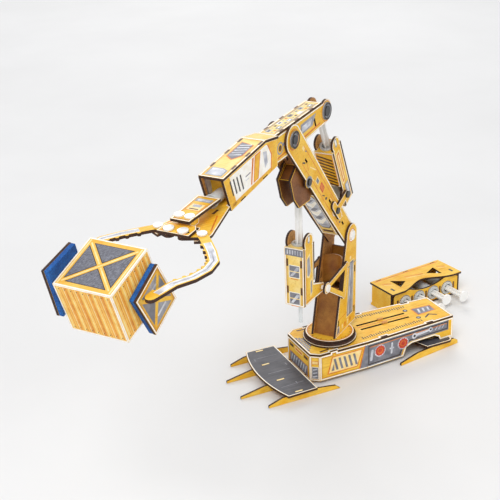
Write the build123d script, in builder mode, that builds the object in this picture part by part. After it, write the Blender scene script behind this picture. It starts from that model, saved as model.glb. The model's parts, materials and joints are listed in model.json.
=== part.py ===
"""Hydraulic arm kit: a syringe-driven plywood robot arm with its separate four-plunger control unit.

The base lies along X with its rounded outriggers towards -X, and Z is up.  The origin is where the
slewing axis meets the floor.  The arm is drawn in its own upright plane, turned by SLEW about Z.
"""
from build123d import *
import os
from math import atan2, cos, degrees, hypot, radians, sin

# ---- driving dimensions, millimetres and degrees ----
PLY = 2.5                       # laser-cut board
SLEW = 36.0                     # arm turned from the base's own direction
FIT = 0.05                      # radial play of a pin in a turning part
PIN_R = 2.5

BASE_FRONT, BASE_WAIST, BASE_REAR = -40.0, 30.0, 150.0
BASE_HALF, BASE_HALF_REAR = 34.0, 27.0
WALL_BOTTOM, WALL_TOP = 4.0, 35.0
BASE_TOP = WALL_TOP + PLY
FOOT_TOP = 8.0                  # height of the outrigger bars
RIB_Y, RIB_TIE_H = 19.0, 6.0    # inner outrigger bars and the tie between them under the floor
RACK_PITCH_R, TEETH, TOOTH_W = 9.0, 12, 1.5
HUB_R = 7.95
RING_TOP = BASE_TOP + 2.0
DISC_TOP = RING_TOP + 0.3 + 2 * PLY

TOWER_Y = 12.5                  # inner faces of the tower sides
LINER_X, LINER_Z, LINER_TOP = 6.0, 99.0, 132.5
BOOM_Y = 9.5                    # inner faces of the boom sides
BEAM_Y = 6.7                    # inner faces of the forearm's rear beam
BOX_Y = 10.0                    # inner faces of the forearm's front box
HOUSING_Y = 8.5                 # inner faces of a cylinder housing

SHOULDER = (28.0, 154.0)        # pivots in the arm's plane: (rearwards, up)
ELBOW = (-103.0, 305.0)
TAIL = (-24.0, 311.0)           # rear end of the forearm, pushed by the reach cylinder
LIFT_EYE = (-72.0, 251.0)       # lift plunger's pin on the boom
LIFT_PIVOT = (-42.0, 120.0)     # lift cylinder's pin on the tower brackets
REACH_PIVOT = (15.6, 207.0)     # reach cylinder's pins on the boom brackets
REACH_AXIS = degrees(atan2(0.9064, -0.4225))

BARREL_R, BORE_R, FLANGE_R, FLANGE_T, END_T, NOZZLE_R = 6.5, 5.3, 8.2, 1.6, 2.0, 2.2
PISTON_R, PISTON_T, ROD_W, ROD_T = 5.22, 6.0, 8.0, 1.8

GRIP_X, GRIP_Z, GRIP_PITCH = -290.0, 282.0, 4.0
CLAW_PIVOT = (1.0, 21.6)        # (forwards, sideways) in the gripper's plane
CLAW_PIN = (7.0, 7.0)
CLAW_ARM = [(9.0, 30.0), (24.0, 44.0), (37.0, 54.0), (51.0, 56.0), (66.0, 52.0), (80.0, 43.5), (104.0, 38.5)]
CLAW_T = 3.0
ROD_LINE = 3.4                  # gripper syringe's axis above the claws' top face
GRIP_MOUTH = -52.0              # mouth of the gripper syringe, behind the claws' origin
GRIP_BARREL_R, GRIP_BORE_R, GRIP_PISTON_R = 5.5, 4.5, 4.42
PAD_SIZE, FOAM_T, FOAM_Y = (36.0, 44.0), 4.0, 26.9
TIP_T = FOAM_Y + FOAM_T + PLY   # claw tips meet the pads' boards here

CRATE = (53.0, 53.2, 49.0)
CRATE_AT = (-393.0, 273.0)
CRATE_PITCH, CRATE_WALL = 19.7, 2.2

CONTROL_AT, CONTROL_TURN = (119.0, 109.0), 7.3
CONTROL_L, CONTROL_W, CONTROL_H = 113.0, 45.0, 30.5
PLUNGER_A = [22.0, 45.0, 68.0, 91.0]
PLUNGER_OUT = [30.0, 39.0, 25.0, 31.0]
PLUNGER_Z, CONTROL_PISTON = 13.0, 19.0

os.makedirs("parts", exist_ok=True)


# ---- planes and shared shapes ----
def save(piece, name):
    piece.part.label = name
    export_step(piece.part, f"parts/{name}.step")


def arm_plane(side):
    """Upright plane of the arm, `side` mm to the far side of its middle: x rearwards, y up."""
    turn = radians(SLEW)
    return Plane(origin=(-side * sin(turn), side * cos(turn), 0), x_dir=(cos(turn), sin(turn), 0),
                 z_dir=(sin(turn), -cos(turn), 0))


def grip_plane(height):
    """Plane of the claws, `height` mm above their top face: x forwards, y to the near side."""
    turn, pitch = radians(SLEW), radians(GRIP_PITCH)
    x, z = GRIP_X - height * sin(pitch), GRIP_Z + height * cos(pitch)
    return Plane(origin=(x * cos(turn), x * sin(turn), z),
                 x_dir=(-cos(pitch) * cos(turn), -cos(pitch) * sin(turn), -sin(pitch)),
                 z_dir=(-sin(pitch) * cos(turn), -sin(pitch) * sin(turn), cos(pitch)))


def control_plane(height):
    """Level plane of the control unit: x along it, y away from its front."""
    turn = radians(CONTROL_TURN)
    return Plane(origin=(*CONTROL_AT, height), x_dir=(cos(turn), sin(turn), 0), z_dir=(0, 0, 1))


def boom_point(along, across):
    """A point of the boom: `along` from the shoulder to the elbow, `across` to its rear."""
    dx, dz = ELBOW[0] - SHOULDER[0], ELBOW[1] - SHOULDER[1]
    ux, uz = dx / hypot(dx, dz), dz / hypot(dx, dz)
    return (SHOULDER[0] + ux * along + uz * across, SHOULDER[1] + uz * along - ux * across)


def axis_point(along, across):
    """A point of the reach cylinder: `along` from the forearm's tail down, `across` to its rear."""
    ux, uz = cos(radians(REACH_AXIS)), sin(radians(REACH_AXIS))
    return (TAIL[0] - ux * along + uz * across, TAIL[1] - uz * along - ux * across)


def outline(points):
    Polygon(*points, align=None)


def bar(start, end, width):
    """A round-ended bar between two points of the current sketch."""
    middle = ((start[0] + end[0]) / 2, (start[1] + end[1]) / 2)
    length = hypot(end[0] - start[0], end[1] - start[1])
    angle = degrees(atan2(end[1] - start[1], end[0] - start[0]))
    with Locations(middle):
        SlotCenterToCenter(length, width, rotation=angle)


def disc(centre, radius, mode=Mode.ADD):
    with Locations(centre):
        Circle(radius, mode=mode)


def slit(centre, length, width, angle=0.0):
    with Locations(centre):
        Rectangle(length, width, rotation=angle, mode=Mode.SUBTRACT)


def node(name, layers):
    """One node made of extrusions: (plane, amount, drawing, mode)."""
    with BuildPart() as group:
        for plane, amount, draw, mode in layers:
            with BuildSketch(plane):
                draw()
            extrude(amount=amount, mode=mode)
    save(group, name)


def arm_group(name, layers):
    """One node of flat pieces parallel to the arm's plane: (far face, thickness, drawing)."""
    node(name, [(arm_plane(far_face), thickness, draw, Mode.ADD) for far_face, thickness, draw in layers])


def both_sides(inner, draw, thickness=PLY):
    """Layers for a pair of plates at the same distance each side of the arm's middle."""
    return [(inner + thickness, thickness, draw), (-inner, thickness, draw)]


def grip_group(name, layers):
    """One node of pieces parallel to the claws' plane: (bottom height, thickness, drawing)."""
    node(name, [(grip_plane(bottom), thickness, draw, Mode.ADD) for bottom, thickness, draw in layers])


def inset(points, depth):
    """The corners of a clockwise or counter-clockwise outline moved inwards by `depth`."""
    corners = []
    count = len(points)
    for i in range(count):
        before, here, after = points[i - 1], points[i], points[(i + 1) % count]
        ax, ay = here[0] - before[0], here[1] - before[1]
        bx, by = after[0] - here[0], after[1] - here[1]
        la, lb = hypot(ax, ay), hypot(bx, by)
        nax, nay, nbx, nby = -ay / la, ax / la, -by / lb, bx / lb
        scale = depth / (1 + nax * nbx + nay * nby)
        corners.append((here[0] + (nax + nbx) * scale, here[1] + (nay + nby) * scale))
    return corners


# ---- base ----
BASE_OUTLINE = [(BASE_FRONT, -27.0), (-31.0, -BASE_HALF), (BASE_WAIST, -BASE_HALF),
                (BASE_REAR, -BASE_HALF_REAR), (BASE_REAR, BASE_HALF_REAR), (BASE_WAIST, BASE_HALF),
                (-31.0, BASE_HALF), (BASE_FRONT, 27.0)]
SLOT_MID, SLOT_LENGTH, SLOT_Y, TAB_X = 70.5, 65.0, 5.2, 70.0
WALL_LEAN = degrees(atan2(BASE_HALF - BASE_HALF_REAR, BASE_REAR - BASE_WAIST))
TENONS = [(-13.0, 32.75, 0.0), (53.0, 31.41, WALL_LEAN), (117.0, 27.68, WALL_LEAN)]
TENON_L = 9.0
SLEW_LINE = (RACK_PITCH_R + 4.6, 21.0)   # (y, z) of the slewing syringe


def base_top():
    with BuildPart() as panel:
        with BuildSketch(Plane.XY.offset(WALL_TOP)):
            outline(BASE_OUTLINE)
            disc((0, 0), HUB_R + FIT, mode=Mode.SUBTRACT)
            for side in (-1, 1):
                slit((SLOT_MID, side * SLOT_Y), SLOT_LENGTH, 3.0)
                for x, y, lean in TENONS:
                    slit((x, side * y), TENON_L, PLY, angle=-side * lean)
        extrude(amount=PLY)
    save(panel, "base_top")


def wall_layers(edges):
    """Upright base panels with mitred corners, one for each numbered edge of the outline."""
    inner = inset(BASE_OUTLINE, PLY)
    layers = []
    for i in edges:
        j = (i + 1) % len(BASE_OUTLINE)
        corners = [BASE_OUTLINE[i], BASE_OUTLINE[j], inner[j], inner[i]]
        layers.append((Plane.XY.offset(WALL_BOTTOM), WALL_TOP - WALL_BOTTOM,
                       lambda corners=corners: outline(corners), Mode.ADD))
    return layers


def draw_wall_tenons():
    for side in (-1, 1):
        for x, y, lean in TENONS:
            with Locations((x, side * y)):
                Rectangle(TENON_L, PLY, rotation=-side * lean)


def draw_arch():
    """Opening for the rear outrigger plate, low in both side walls."""
    outline([(78, -1), (84, 15), (92, 18), (124, 18), (130, 15), (132, FOOT_TOP + PLY), (146, FOOT_TOP + PLY),
             (146, FOOT_TOP), (133, FOOT_TOP), (134, -1)])


def base_walls():
    node("base_front_panels", wall_layers((6, 7, 0)))
    node("base_side_panels", wall_layers((1, 2, 4, 5))
         + [(Plane.XZ.offset(-60), 120, draw_arch, Mode.SUBTRACT),
            (Plane.XY.offset(WALL_TOP), PLY, draw_wall_tenons, Mode.ADD)])
    node("base_rear_panel", wall_layers((3,))
         + [(Plane.YZ.offset(BASE_REAR), -PLY, lambda: disc(SLEW_LINE, NOZZLE_R), Mode.SUBTRACT)])


def base_floor():
    with BuildPart() as panel:
        with BuildSketch(Plane.XY.offset(6.0)):
            outline([(-37.5, -25.5), (-30.3, -31.1), (30, -31.4), (74, -28.8), (74, 28.8), (30, 31.4),
                     (-30.3, 31.1), (-37.5, 25.5)])
        extrude(amount=PLY)
    save(panel, "base_floor")


def front_foot_plate():
    with BuildPart() as plate:
        with BuildSketch(Plane.XY.offset(FOOT_TOP)):
            with BuildLine():
                Polyline((-81, -55), (-45, -54), (-45, 54), (-81, 55))
                ThreePointArc((-81, 55), (-91, 0), (-81, -55))
            make_face()
            for rib_y, slot_x in ((50, -66), (19, -73)):
                for side in (-1, 1):
                    slit((slot_x, side * rib_y), 9.0, PLY)
        extrude(amount=PLY)
    save(plate, "front_foot_plate")


def front_foot_ribs():
    outer = [(-103, 0), (-103, 2.5), (-86, 8), (-70.5, 8), (-70.5, 10.5), (-61.5, 10.5), (-61.5, 8),
             (-44, 8), (-21, 5), (-15, 0)]
    middle = [(-122, 0), (-122, 2.5), (-93, 8), (-77.5, 8), (-77.5, 10.5), (-68.5, 10.5), (-68.5, 8),
              (-41.5, 8), (-41.5, 3.5), (-36.5, 3.5), (-36.5, 6), (24, 6), (20, 0)]
    with BuildPart() as ribs:
        for rib_y, profile in ((50, outer), (RIB_Y, middle), (-RIB_Y, middle), (-50, outer)):
            with BuildSketch(Plane.XZ.offset(-rib_y)):
                outline(profile)
            extrude(amount=PLY / 2, both=True)
        with Locations((0, 0, RIB_TIE_H / 2)):
            Box(PLY, 2 * RIB_Y - PLY, RIB_TIE_H)
    save(ribs, "front_foot_ribs")


def rear_foot_plate():
    with BuildPart() as plate:
        with BuildSketch(Plane.XY.offset(FOOT_TOP)):
            with BuildLine():
                Polyline((104, -20), (110, -35.5), (139, -35.5))
                ThreePointArc((139, -35.5), (144, -33.5), (146, -28))
                Line((146, -28), (146, 28))
                ThreePointArc((146, 28), (144, 33.5), (139, 35.5))
                Polyline((139, 35.5), (110, 35.5), (104, 20), (104, -20))
            make_face()
            for side in (-1, 1):
                slit((126, side * 20.0), 10.0, PLY)
        extrude(amount=PLY)
    save(plate, "rear_foot_plate")


def rear_foot_bars():
    """Two splayed bars under the rear plate."""
    profile = [(-46, 0), (-46, 3), (-20, FOOT_TOP), (36, FOOT_TOP), (42, 4), (42, 0)]
    splay = radians(9.0)
    with BuildPart() as bars:
        for side in (-1, 1):
            plane = Plane(origin=(115, side * 34.5, 0), x_dir=(cos(splay), -side * sin(splay), 0),
                          z_dir=(-side * sin(splay), -cos(splay), 0))
            with BuildSketch(plane):
                outline(profile)
            extrude(amount=PLY / 2, both=True)
    save(bars, "rear_foot_bars")


def swivel_ring():
    with BuildPart() as ring:
        with BuildSketch(Plane.XY.offset(BASE_TOP)):
            Circle(30.5)
            Circle(HUB_R + 0.4, mode=Mode.SUBTRACT)
        extrude(amount=RING_TOP - BASE_TOP)
    save(ring, "swivel_ring")


# ---- slewing drive ----
def slew_rack():
    """Toothed bar with the cross plate that carries the two pointer tabs."""
    bottom = WALL_TOP - 3.1
    pitch = 2 * 3.14159265 * RACK_PITCH_R / TEETH
    with BuildPart() as rack:
        with BuildSketch(Plane.XY.offset(bottom)):
            with Locations((24, RACK_PITCH_R + 4.6)):
                Rectangle(104, 7)
            for k in range(-6, 4):
                with Locations((k * pitch + pitch / 2, RACK_PITCH_R + 0.7)):
                    Rectangle(TOOTH_W, 1.4)
            with Locations((TAB_X, 2)):
                Rectangle(12, 22)
        extrude(amount=PLY)
        with BuildSketch(Plane.XY.offset(bottom + PLY)):
            with Locations((TAB_X, SLOT_Y), (TAB_X, -SLOT_Y)):
                Rectangle(7, 2.2)
        extrude(amount=BASE_TOP + 2.0 - bottom - PLY)
    save(rack, "slew_rack")


def slew_pinion():
    """Gear and hub that turn the swivel disc."""
    with BuildPart() as pinion:
        with BuildSketch(Plane.XY.offset(WALL_TOP - 3.1)):
            Circle(RACK_PITCH_R - 1.2)
            with PolarLocations(RACK_PITCH_R - 0.5, TEETH, start_angle=90):
                Rectangle(2.2, TOOTH_W)
        extrude(amount=2.8)
        with BuildSketch(Plane.XY.offset(WALL_TOP - 3.1)):
            Circle(HUB_R - 0.5)
        extrude(amount=3.1)
        with BuildSketch(Plane.XY.offset(WALL_TOP)):
            Circle(HUB_R)
        extrude(amount=RING_TOP + 0.3 - WALL_TOP)
    save(pinion, "slew_pinion")


def barrel_layers(plane, length, barrel_r=BARREL_R, bore_r=BORE_R, nozzle=10.0, flange_r=FLANGE_R):
    """A barrel whose mouth lies on the plane and which runs against the plane's normal."""
    def draw_tube():
        Circle(barrel_r)
        Circle(bore_r, mode=Mode.SUBTRACT)

    def draw_flange():
        Circle(flange_r)
        Circle(bore_r, mode=Mode.SUBTRACT)
    return [(plane, -length, draw_tube, Mode.ADD),
            (plane, FLANGE_T, draw_flange, Mode.ADD),
            (plane.offset(-length), -END_T, lambda: Circle(barrel_r), Mode.ADD),
            (plane.offset(-length - END_T), -nozzle, lambda: Circle(NOZZLE_R), Mode.ADD)]


def rod_layers(plane, piston_depth, length, piston_r=PISTON_R, rod_w=ROD_W):
    """A cross-shaped plunger rod along the plane's normal, with its piston `piston_depth` inside."""
    def draw_cross():
        Rectangle(rod_w, ROD_T)
        Rectangle(ROD_T, rod_w)
    return [(plane.offset(-piston_depth), PISTON_T, lambda: Circle(piston_r), Mode.ADD),
            (plane.offset(PISTON_T - piston_depth), length, draw_cross, Mode.ADD)]


SLEW_MOUTH = 100.0
SLEW_SYRINGE = Plane(origin=(SLEW_MOUTH, *SLEW_LINE), x_dir=(0, 1, 0), z_dir=(-1, 0, 0))


def draw_rack_post():
    with Locations((RACK_PITCH_R + 4.6, 23.4)):
        Rectangle(6.0, 17.0)


def slew_plunger():
    """Plunger that pulls the rack, with the upright post that joins the two."""
    node("slew_plunger", rod_layers(SLEW_SYRINGE, 17.0, 42.0)
         + [(Plane.YZ.offset(69.0), 4.0, draw_rack_post, Mode.ADD)])


# ---- turret ----
def swivel_disc():
    with BuildPart() as plies:
        for radius, bottom in ((29.5, RING_TOP + 0.3), (27.5, RING_TOP + 0.3 + PLY)):
            with BuildSketch(Plane.XY.offset(bottom)):
                Circle(radius)
            extrude(amount=PLY)
    save(plies, "swivel_disc")


def draw_tower_side():
    outline([(-17, DISC_TOP), (38, DISC_TOP), (41.5, SHOULDER[1]), (14.5, SHOULDER[1])])
    disc(SHOULDER, 13.5)
    disc(SHOULDER, PIN_R, mode=Mode.SUBTRACT)
    for z, x in ((60.0, -8.6), (110.0, 5.6)):
        slit((x, z), PLY, 8.0, angle=-15.9)
        slit((37.0 + (z - 60) * 0.033 - 2.6, z), PLY, 8.0)


def draw_tower_front():
    outline([(-13.5, DISC_TOP), (-11.0, DISC_TOP), (4.2, 99), (1.7, 99)])


def draw_tower_back():
    outline([(33.0, DISC_TOP), (35.5, DISC_TOP), (38.0, 134), (35.5, 134)])


def draw_liner():
    Circle(TOWER_Y)
    Circle(TOWER_Y - 1.5, mode=Mode.SUBTRACT)
    with Locations((-8.0, 0)):
        Rectangle(16.0, 30.0, mode=Mode.SUBTRACT)


def tower_liner():
    """Bent-board trough between the tower sides, behind the lift cylinder."""
    turn = radians(SLEW)
    level = Plane(origin=(LINER_X * cos(turn), LINER_X * sin(turn), LINER_Z + 0.2),
                  x_dir=(cos(turn), sin(turn), 0), z_dir=(0, 0, 1))
    side = [(0.2, LINER_Z), (9.2, LINER_TOP), (30, LINER_TOP), (30, LINER_Z)]
    node("tower_liner", [(level, 33.0, draw_liner, Mode.ADD),
                         (arm_plane(15), 30, lambda: outline(side), Mode.INTERSECT)])


def draw_cylinder_bracket():
    """V-shaped arm that holds the lift cylinder's pin in front of the tower."""
    bar(LIFT_PIVOT, (9, 126), 6.0)
    bar(LIFT_PIVOT, (1, 92), 6.0)
    bar((9, 126), (1, 92), 8.0)
    disc(LIFT_PIVOT, 6.5)
    disc(LIFT_PIVOT, PIN_R, mode=Mode.SUBTRACT)


def pin_layers(centre, half_length, head_r, head_t, pin_r=PIN_R):
    """A pin across the arm with a round head outside each side."""
    def draw_pin():
        disc(centre, pin_r)

    def draw_head():
        disc(centre, head_r)
    return [(half_length, 2 * half_length, draw_pin), (half_length + head_t, head_t, draw_head),
            (-half_length, head_t, draw_head)]


# ---- cylinder housings ----
def draw_lift_side():
    left, right, bottom, top = -82.0, -62.0, 115.0, 181.0
    outline([(left, bottom), (right, bottom), (right, top), (left, top)])
    with Locations(((left + right) / 2, top + 4)):
        SlotOverall(20.0, 18.0)
    outline([(right - 1, 134), (LIFT_PIVOT[0], LIFT_PIVOT[1] + 6), (LIFT_PIVOT[0], LIFT_PIVOT[1] - 6),
             (right - 1, bottom)])
    disc(LIFT_PIVOT, 6.0)
    disc(LIFT_PIVOT, PIN_R + FIT, mode=Mode.SUBTRACT)


def lift_cylinder_shell():
    """Front and back faces and the two collars that hold the syringe."""
    with BuildPart() as shell:
        with BuildSketch(arm_plane(HOUSING_Y + PLY)):
            outline([(-84.5, 115), (-82, 115), (-82, 181), (-84.5, 181)])
            outline([(-62, 137), (-59.5, 137), (-59.5, 181), (-62, 181)])
        extrude(amount=2 * (HOUSING_Y + PLY))
        with BuildSketch(arm_plane(HOUSING_Y)):
            for z in (118.0, 178.5):
                outline([(-82, z), (-62, z), (-62, z + PLY), (-82, z + PLY)])
        extrude(amount=2 * HOUSING_Y)
        with BuildSketch(lift_mouth()):
            Circle(BARREL_R)
        extrude(amount=-70, mode=Mode.SUBTRACT)
    save(shell, "lift_cylinder_shell")


def lift_mouth():
    turn = radians(SLEW)
    return Plane(origin=(LIFT_EYE[0] * cos(turn), LIFT_EYE[0] * sin(turn), LIFT_TOP),
                 x_dir=(cos(turn), sin(turn), 0), z_dir=(0, 0, 1))


def reach_mouth():
    """Mouth of the reach syringe; its normal points to the forearm's tail."""
    turn, axis = radians(SLEW), radians(REACH_AXIS)
    x, z = axis_point(REACH_TOP, 0)
    return Plane(origin=(x * cos(turn), x * sin(turn), z), x_dir=(sin(turn), -cos(turn), 0),
                 z_dir=(cos(axis) * cos(turn), cos(axis) * sin(turn), sin(axis)))


LIFT_TOP = 181.0
REACH_TOP, REACH_BOTTOM, REACH_HALF = 50.0, 128.0, 8.5


def draw_reach_side():
    outline([axis_point(REACH_TOP, -REACH_HALF), axis_point(REACH_TOP, REACH_HALF),
             axis_point(REACH_BOTTOM, REACH_HALF), axis_point(REACH_BOTTOM, -REACH_HALF)])
    bar(axis_point(REACH_TOP - 4, -0.5), axis_point(REACH_TOP - 4, 0.5), 16.0)
    disc(REACH_PIVOT, 5.5)
    disc(REACH_PIVOT, PIN_R + FIT, mode=Mode.SUBTRACT)


def reach_cylinder_shell():
    """Front and back faces and the two collars of the reach cylinder."""
    inner, outer = REACH_HALF, REACH_HALF + PLY
    with BuildPart() as shell:
        with BuildSketch(arm_plane(HOUSING_Y + PLY)):
            outline([axis_point(REACH_TOP, inner), axis_point(REACH_TOP, outer),
                     axis_point(REACH_BOTTOM, outer), axis_point(REACH_BOTTOM, inner)])
            for start, end in ((REACH_TOP, 98.0), (119.0, REACH_BOTTOM)):
                outline([axis_point(start, -outer), axis_point(start, -inner), axis_point(end, -inner),
                         axis_point(end, -outer)])
        extrude(amount=2 * (HOUSING_Y + PLY))
        with BuildSketch(arm_plane(HOUSING_Y)):
            for start in (REACH_TOP, REACH_BOTTOM - 4.0):
                outline([axis_point(start, -inner), axis_point(start, inner), axis_point(start + PLY, inner),
                         axis_point(start + PLY, -inner)])
        extrude(amount=2 * HOUSING_Y)
        with BuildSketch(reach_mouth()):
            Circle(BARREL_R)
        extrude(amount=-90, mode=Mode.SUBTRACT)
    save(shell, "reach_cylinder_shell")


def draw_lift_head():
    """Eye with room to spare round the boom's pin."""
    x, z = LIFT_EYE
    disc(LIFT_EYE, 7.0)
    outline([(x - 4, z - 18), (x + 4, z - 18), (x + 4, z - 5), (x - 4, z - 5)])
    disc(LIFT_EYE, 4.2, mode=Mode.SUBTRACT)


def draw_reach_head():
    disc(TAIL, 5.5)
    outline([axis_point(14, -4), axis_point(14, 4), axis_point(0, 4), axis_point(0, -4)])


# ---- boom ----
def draw_boom_side():
    outline([boom_point(0, -12), boom_point(60, -13.5), boom_point(200, -15), boom_point(200, 15),
             boom_point(60, 13), boom_point(0, 12)])
    disc(SHOULDER, 12.0)
    disc(ELBOW, 15.0)
    disc(LIFT_EYE, 6.5)
    disc(SHOULDER, PIN_R + FIT, mode=Mode.SUBTRACT)
    for centre in (ELBOW, LIFT_EYE):
        disc(centre, PIN_R, mode=Mode.SUBTRACT)
    tilt = degrees(atan2(ELBOW[1] - SHOULDER[1], ELBOW[0] - SHOULDER[0]))
    for along in (28, 77, 160):
        slit(boom_point(along, 0), 7.0, PLY, angle=tilt)


def draw_boom_panels():
    outline([boom_point(22, -13), boom_point(22, -10.5), boom_point(112, -10.5), boom_point(112, -13)])
    outline([boom_point(34, 10), boom_point(34, 12.5), boom_point(128, 12.5), boom_point(128, 10)])


def draw_boom_clevis():
    outline([boom_point(121, -7.5), boom_point(168, -7.5), (-104, 262), (-97, 240), (-86, 227), (-62, 227),
             (-54, 238)])
    disc(LIFT_EYE, PIN_R, mode=Mode.SUBTRACT)


def draw_boom_clevis_web():
    outline([boom_point(165, -9.0), boom_point(161, -9.0), (-99.5, 260.5), (-102, 261.5)])


def draw_reach_bracket():
    bar(REACH_PIVOT, boom_point(57, 0), 9.0)
    bar(boom_point(46, 0), boom_point(68, 0), 9.0)
    disc(REACH_PIVOT, PIN_R, mode=Mode.SUBTRACT)


def ring_layers(centre, face, radius, hole_r, thickness=1.0):
    """A flat ring against each outer face, round a pin head."""
    def draw():
        disc(centre, radius)
        disc(centre, hole_r, mode=Mode.SUBTRACT)
    return both_sides(face, draw, thickness)


def stub_layers(centre, inner, outer, head_r, pin_r=PIN_R):
    """A short pin each side, with a head on the outer face."""
    def draw_pin():
        disc(centre, pin_r)

    def draw_head():
        disc(centre, head_r)
    return both_sides(inner, draw_pin, outer - inner) + both_sides(outer, draw_head, 2.0)


# ---- forearm ----
TOP_LINE = [(-238, 311), (-160, 322), (-135, 318.5), (-36, 323)]


def band(points, depth):
    """A strip of constant depth below a line of points."""
    outline(points + [(x, z - depth) for x, z in reversed(points)])


def draw_beam_side():
    outline([(-170, 318), (-160, 319.5), (-135, 316), (-36, 320.5), (-24, 321), (-24, 299), (-100, 291.5),
             (-170, 288.5)])
    disc(TAIL, 12.0)
    disc(ELBOW, PIN_R + FIT, mode=Mode.SUBTRACT)
    disc(TAIL, PIN_R, mode=Mode.SUBTRACT)
    slit((-50, 306), 3.0, 10.0, angle=20)


def draw_box_side():
    outline([(-238, 308.5), (-160, 319.5), (-138, 316.4), (-138, 290), (-226, 277)])
    for x in (-224, -217, -210, -203):
        slit((x, 296.5), 2.2, 17.0, angle=14)
    for x, z in ((-205, 281.9), (-163, 288.1)):
        slit((x, z), 9.0, PLY, angle=8.4)


def draw_forearm_top_front():
    band(TOP_LINE[:3], PLY)


def draw_forearm_top_rear():
    band(TOP_LINE[2:], PLY)


def draw_box_floor():
    """Floor of the front box and the bulkhead a little way inside its open front."""
    outline([(-226, 277), (-171, 285.1), (-171, 287.6), (-226, 279.3)])
    outline([(-219, 284.0), (-216.5, 283.9), (-222, 310.6), (-224.5, 310.2)])


def draw_beam_floor():
    outline([(-171, 285.1), (-138, 290), (-138, 292.5), (-171, 287.6)])
    outline([(-86, 293.5), (-48, 297.0), (-48, 299.5), (-86, 296)])


def forearm_floor():
    """Bottom panels and bulkhead, bored for the gripper syringe."""
    node("forearm_floor", [(arm_plane(BOX_Y), 2 * BOX_Y, draw_box_floor, Mode.ADD),
                           (arm_plane(BEAM_Y), 2 * BEAM_Y, draw_beam_floor, Mode.ADD),
                           (rod_plane(-40), -70, lambda: Circle(GRIP_BARREL_R), Mode.SUBTRACT)])


# ---- gripper ----
def draw_carrier():
    half = [(-79, 9.9), (-61.4, 9.9), (-60, 13.5), (-8, 26), (5, 26), (9, 18), (-14, 9)]
    outline(half + [(s, -t) for s, t in reversed(half)])
    for side in (-1, 1):
        disc((CLAW_PIVOT[0], side * CLAW_PIVOT[1]), 2.0, mode=Mode.SUBTRACT)


def draw_claw(side):
    """Bent claw: root bar to the drive pin, arm round to the pad, and small teeth on its inside."""
    points = [(s, side * t) for s, t in [CLAW_PIVOT] + CLAW_ARM]
    bar((CLAW_PIN[0], side * CLAW_PIN[1]), points[0], 10.0)
    for start, end in zip(points, points[1:]):
        bar(start, end, 9.0)
    for start, end in zip(points[1:-2], points[2:-1]):
        length = hypot(end[0] - start[0], end[1] - start[1])
        nx, ny = (end[1] - start[1]) / length, -(end[0] - start[0]) / length
        for share in (0.3, 0.8):
            disc((start[0] + (end[0] - start[0]) * share + nx * side * 4.6,
                  start[1] + (end[1] - start[1]) * share + ny * side * 4.6), 1.7)
    with Locations((99.0, side * (TIP_T + 3.0))):
        Rectangle(10.0, 6.0)
    disc(points[0], 2.0 + FIT, mode=Mode.SUBTRACT)


def claw(name, side):
    def draw():
        draw_claw(side)
        disc((CLAW_PIN[0], side * CLAW_PIN[1]), 1.5, mode=Mode.SUBTRACT)
    grip_group(name, [(-CLAW_T, CLAW_T, draw)])


def claw_pin(name, side):
    """Drive pin of a claw, with its broad white head above the yoke bar."""
    centre = (CLAW_PIN[0], side * CLAW_PIN[1])
    grip_group(name, [(-CLAW_T, CLAW_T + 3.2, lambda: disc(centre, 1.5)),
                      (3.2, 1.5, lambda: disc(centre, 4.8))])


def claw_pivot_pins():
    def draw_shafts():
        for side in (-1, 1):
            disc((CLAW_PIVOT[0], side * CLAW_PIVOT[1]), 2.0)

    def draw_heads():
        for side in (-1, 1):
            disc((CLAW_PIVOT[0], side * CLAW_PIVOT[1]), 4.4)
    grip_group("claw_pivot_pins", [(-5.8, 6.1, draw_shafts), (0.3, 1.5, draw_heads), (-7.0, 1.2, draw_heads)])


def gripper_yoke():
    """Sliding yoke: slotted drive bar, spacer block and tapered top plate."""
    def draw_bar():
        outline([(-6, -12), (-6, 12), (0, 15.5), (12.5, 15.5), (12.5, -15.5), (0, -15.5)])
        for side in (-1, 1):
            with Locations((CLAW_PIN[0], side * 9.0)):
                SlotOverall(8.0, 4.2, rotation=90, mode=Mode.SUBTRACT)

    def draw_block():
        outline([(-20, -6), (-6, -6), (-6, 6), (-20, 6)])

    def draw_top():
        outline([(-48.5, -11.5), (-48.5, 11.5), (0, 9.5), (0, -9.5)])
    grip_group("gripper_yoke", [(0.4, PLY, draw_bar), (-1.5, 8.1, draw_block), (6.6, PLY, draw_top)])


def rod_plane(forward):
    """Plane across the gripper syringe, `forward` mm ahead of the claws' origin, facing forwards."""
    level = grip_plane(ROD_LINE)
    return Plane(origin=level.origin + level.x_dir * forward, x_dir=level.y_dir, z_dir=level.x_dir)


def draw_yoke_heads():
    with Locations((-8, 5), (-8, -5)):
        Circle(4.5)


def gripper_plunger():
    """Plunger of the gripper syringe and the two round heads that pin the yoke's top plate."""
    node("gripper_plunger", rod_layers(rod_plane(GRIP_MOUTH), 20.0, 16.0, GRIP_PISTON_R, 6.6)
         + [(rod_plane(GRIP_MOUTH + 2.0), 28.0, lambda: Rectangle(6.6, ROD_T), Mode.ADD),
            (rod_plane(-22), 2.0, lambda: Circle(3.0), Mode.ADD),
            (grip_plane(6.6 + PLY), 1.5, draw_yoke_heads, Mode.ADD)])


def pad(name, foam_name, side, centre, pitch):
    """Pad on a claw tip: board outside, foam inside."""
    def draw():
        with Locations(centre):
            Rectangle(*PAD_SIZE, rotation=pitch)

    foam_far = side * FOAM_Y if side < 0 else FOAM_Y + FOAM_T
    board_far = side * (FOAM_Y + FOAM_T) if side < 0 else FOAM_Y + FOAM_T + PLY
    arm_group(foam_name, [(foam_far, FOAM_T, draw)])
    arm_group(name, [(board_far, PLY, draw)])


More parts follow.
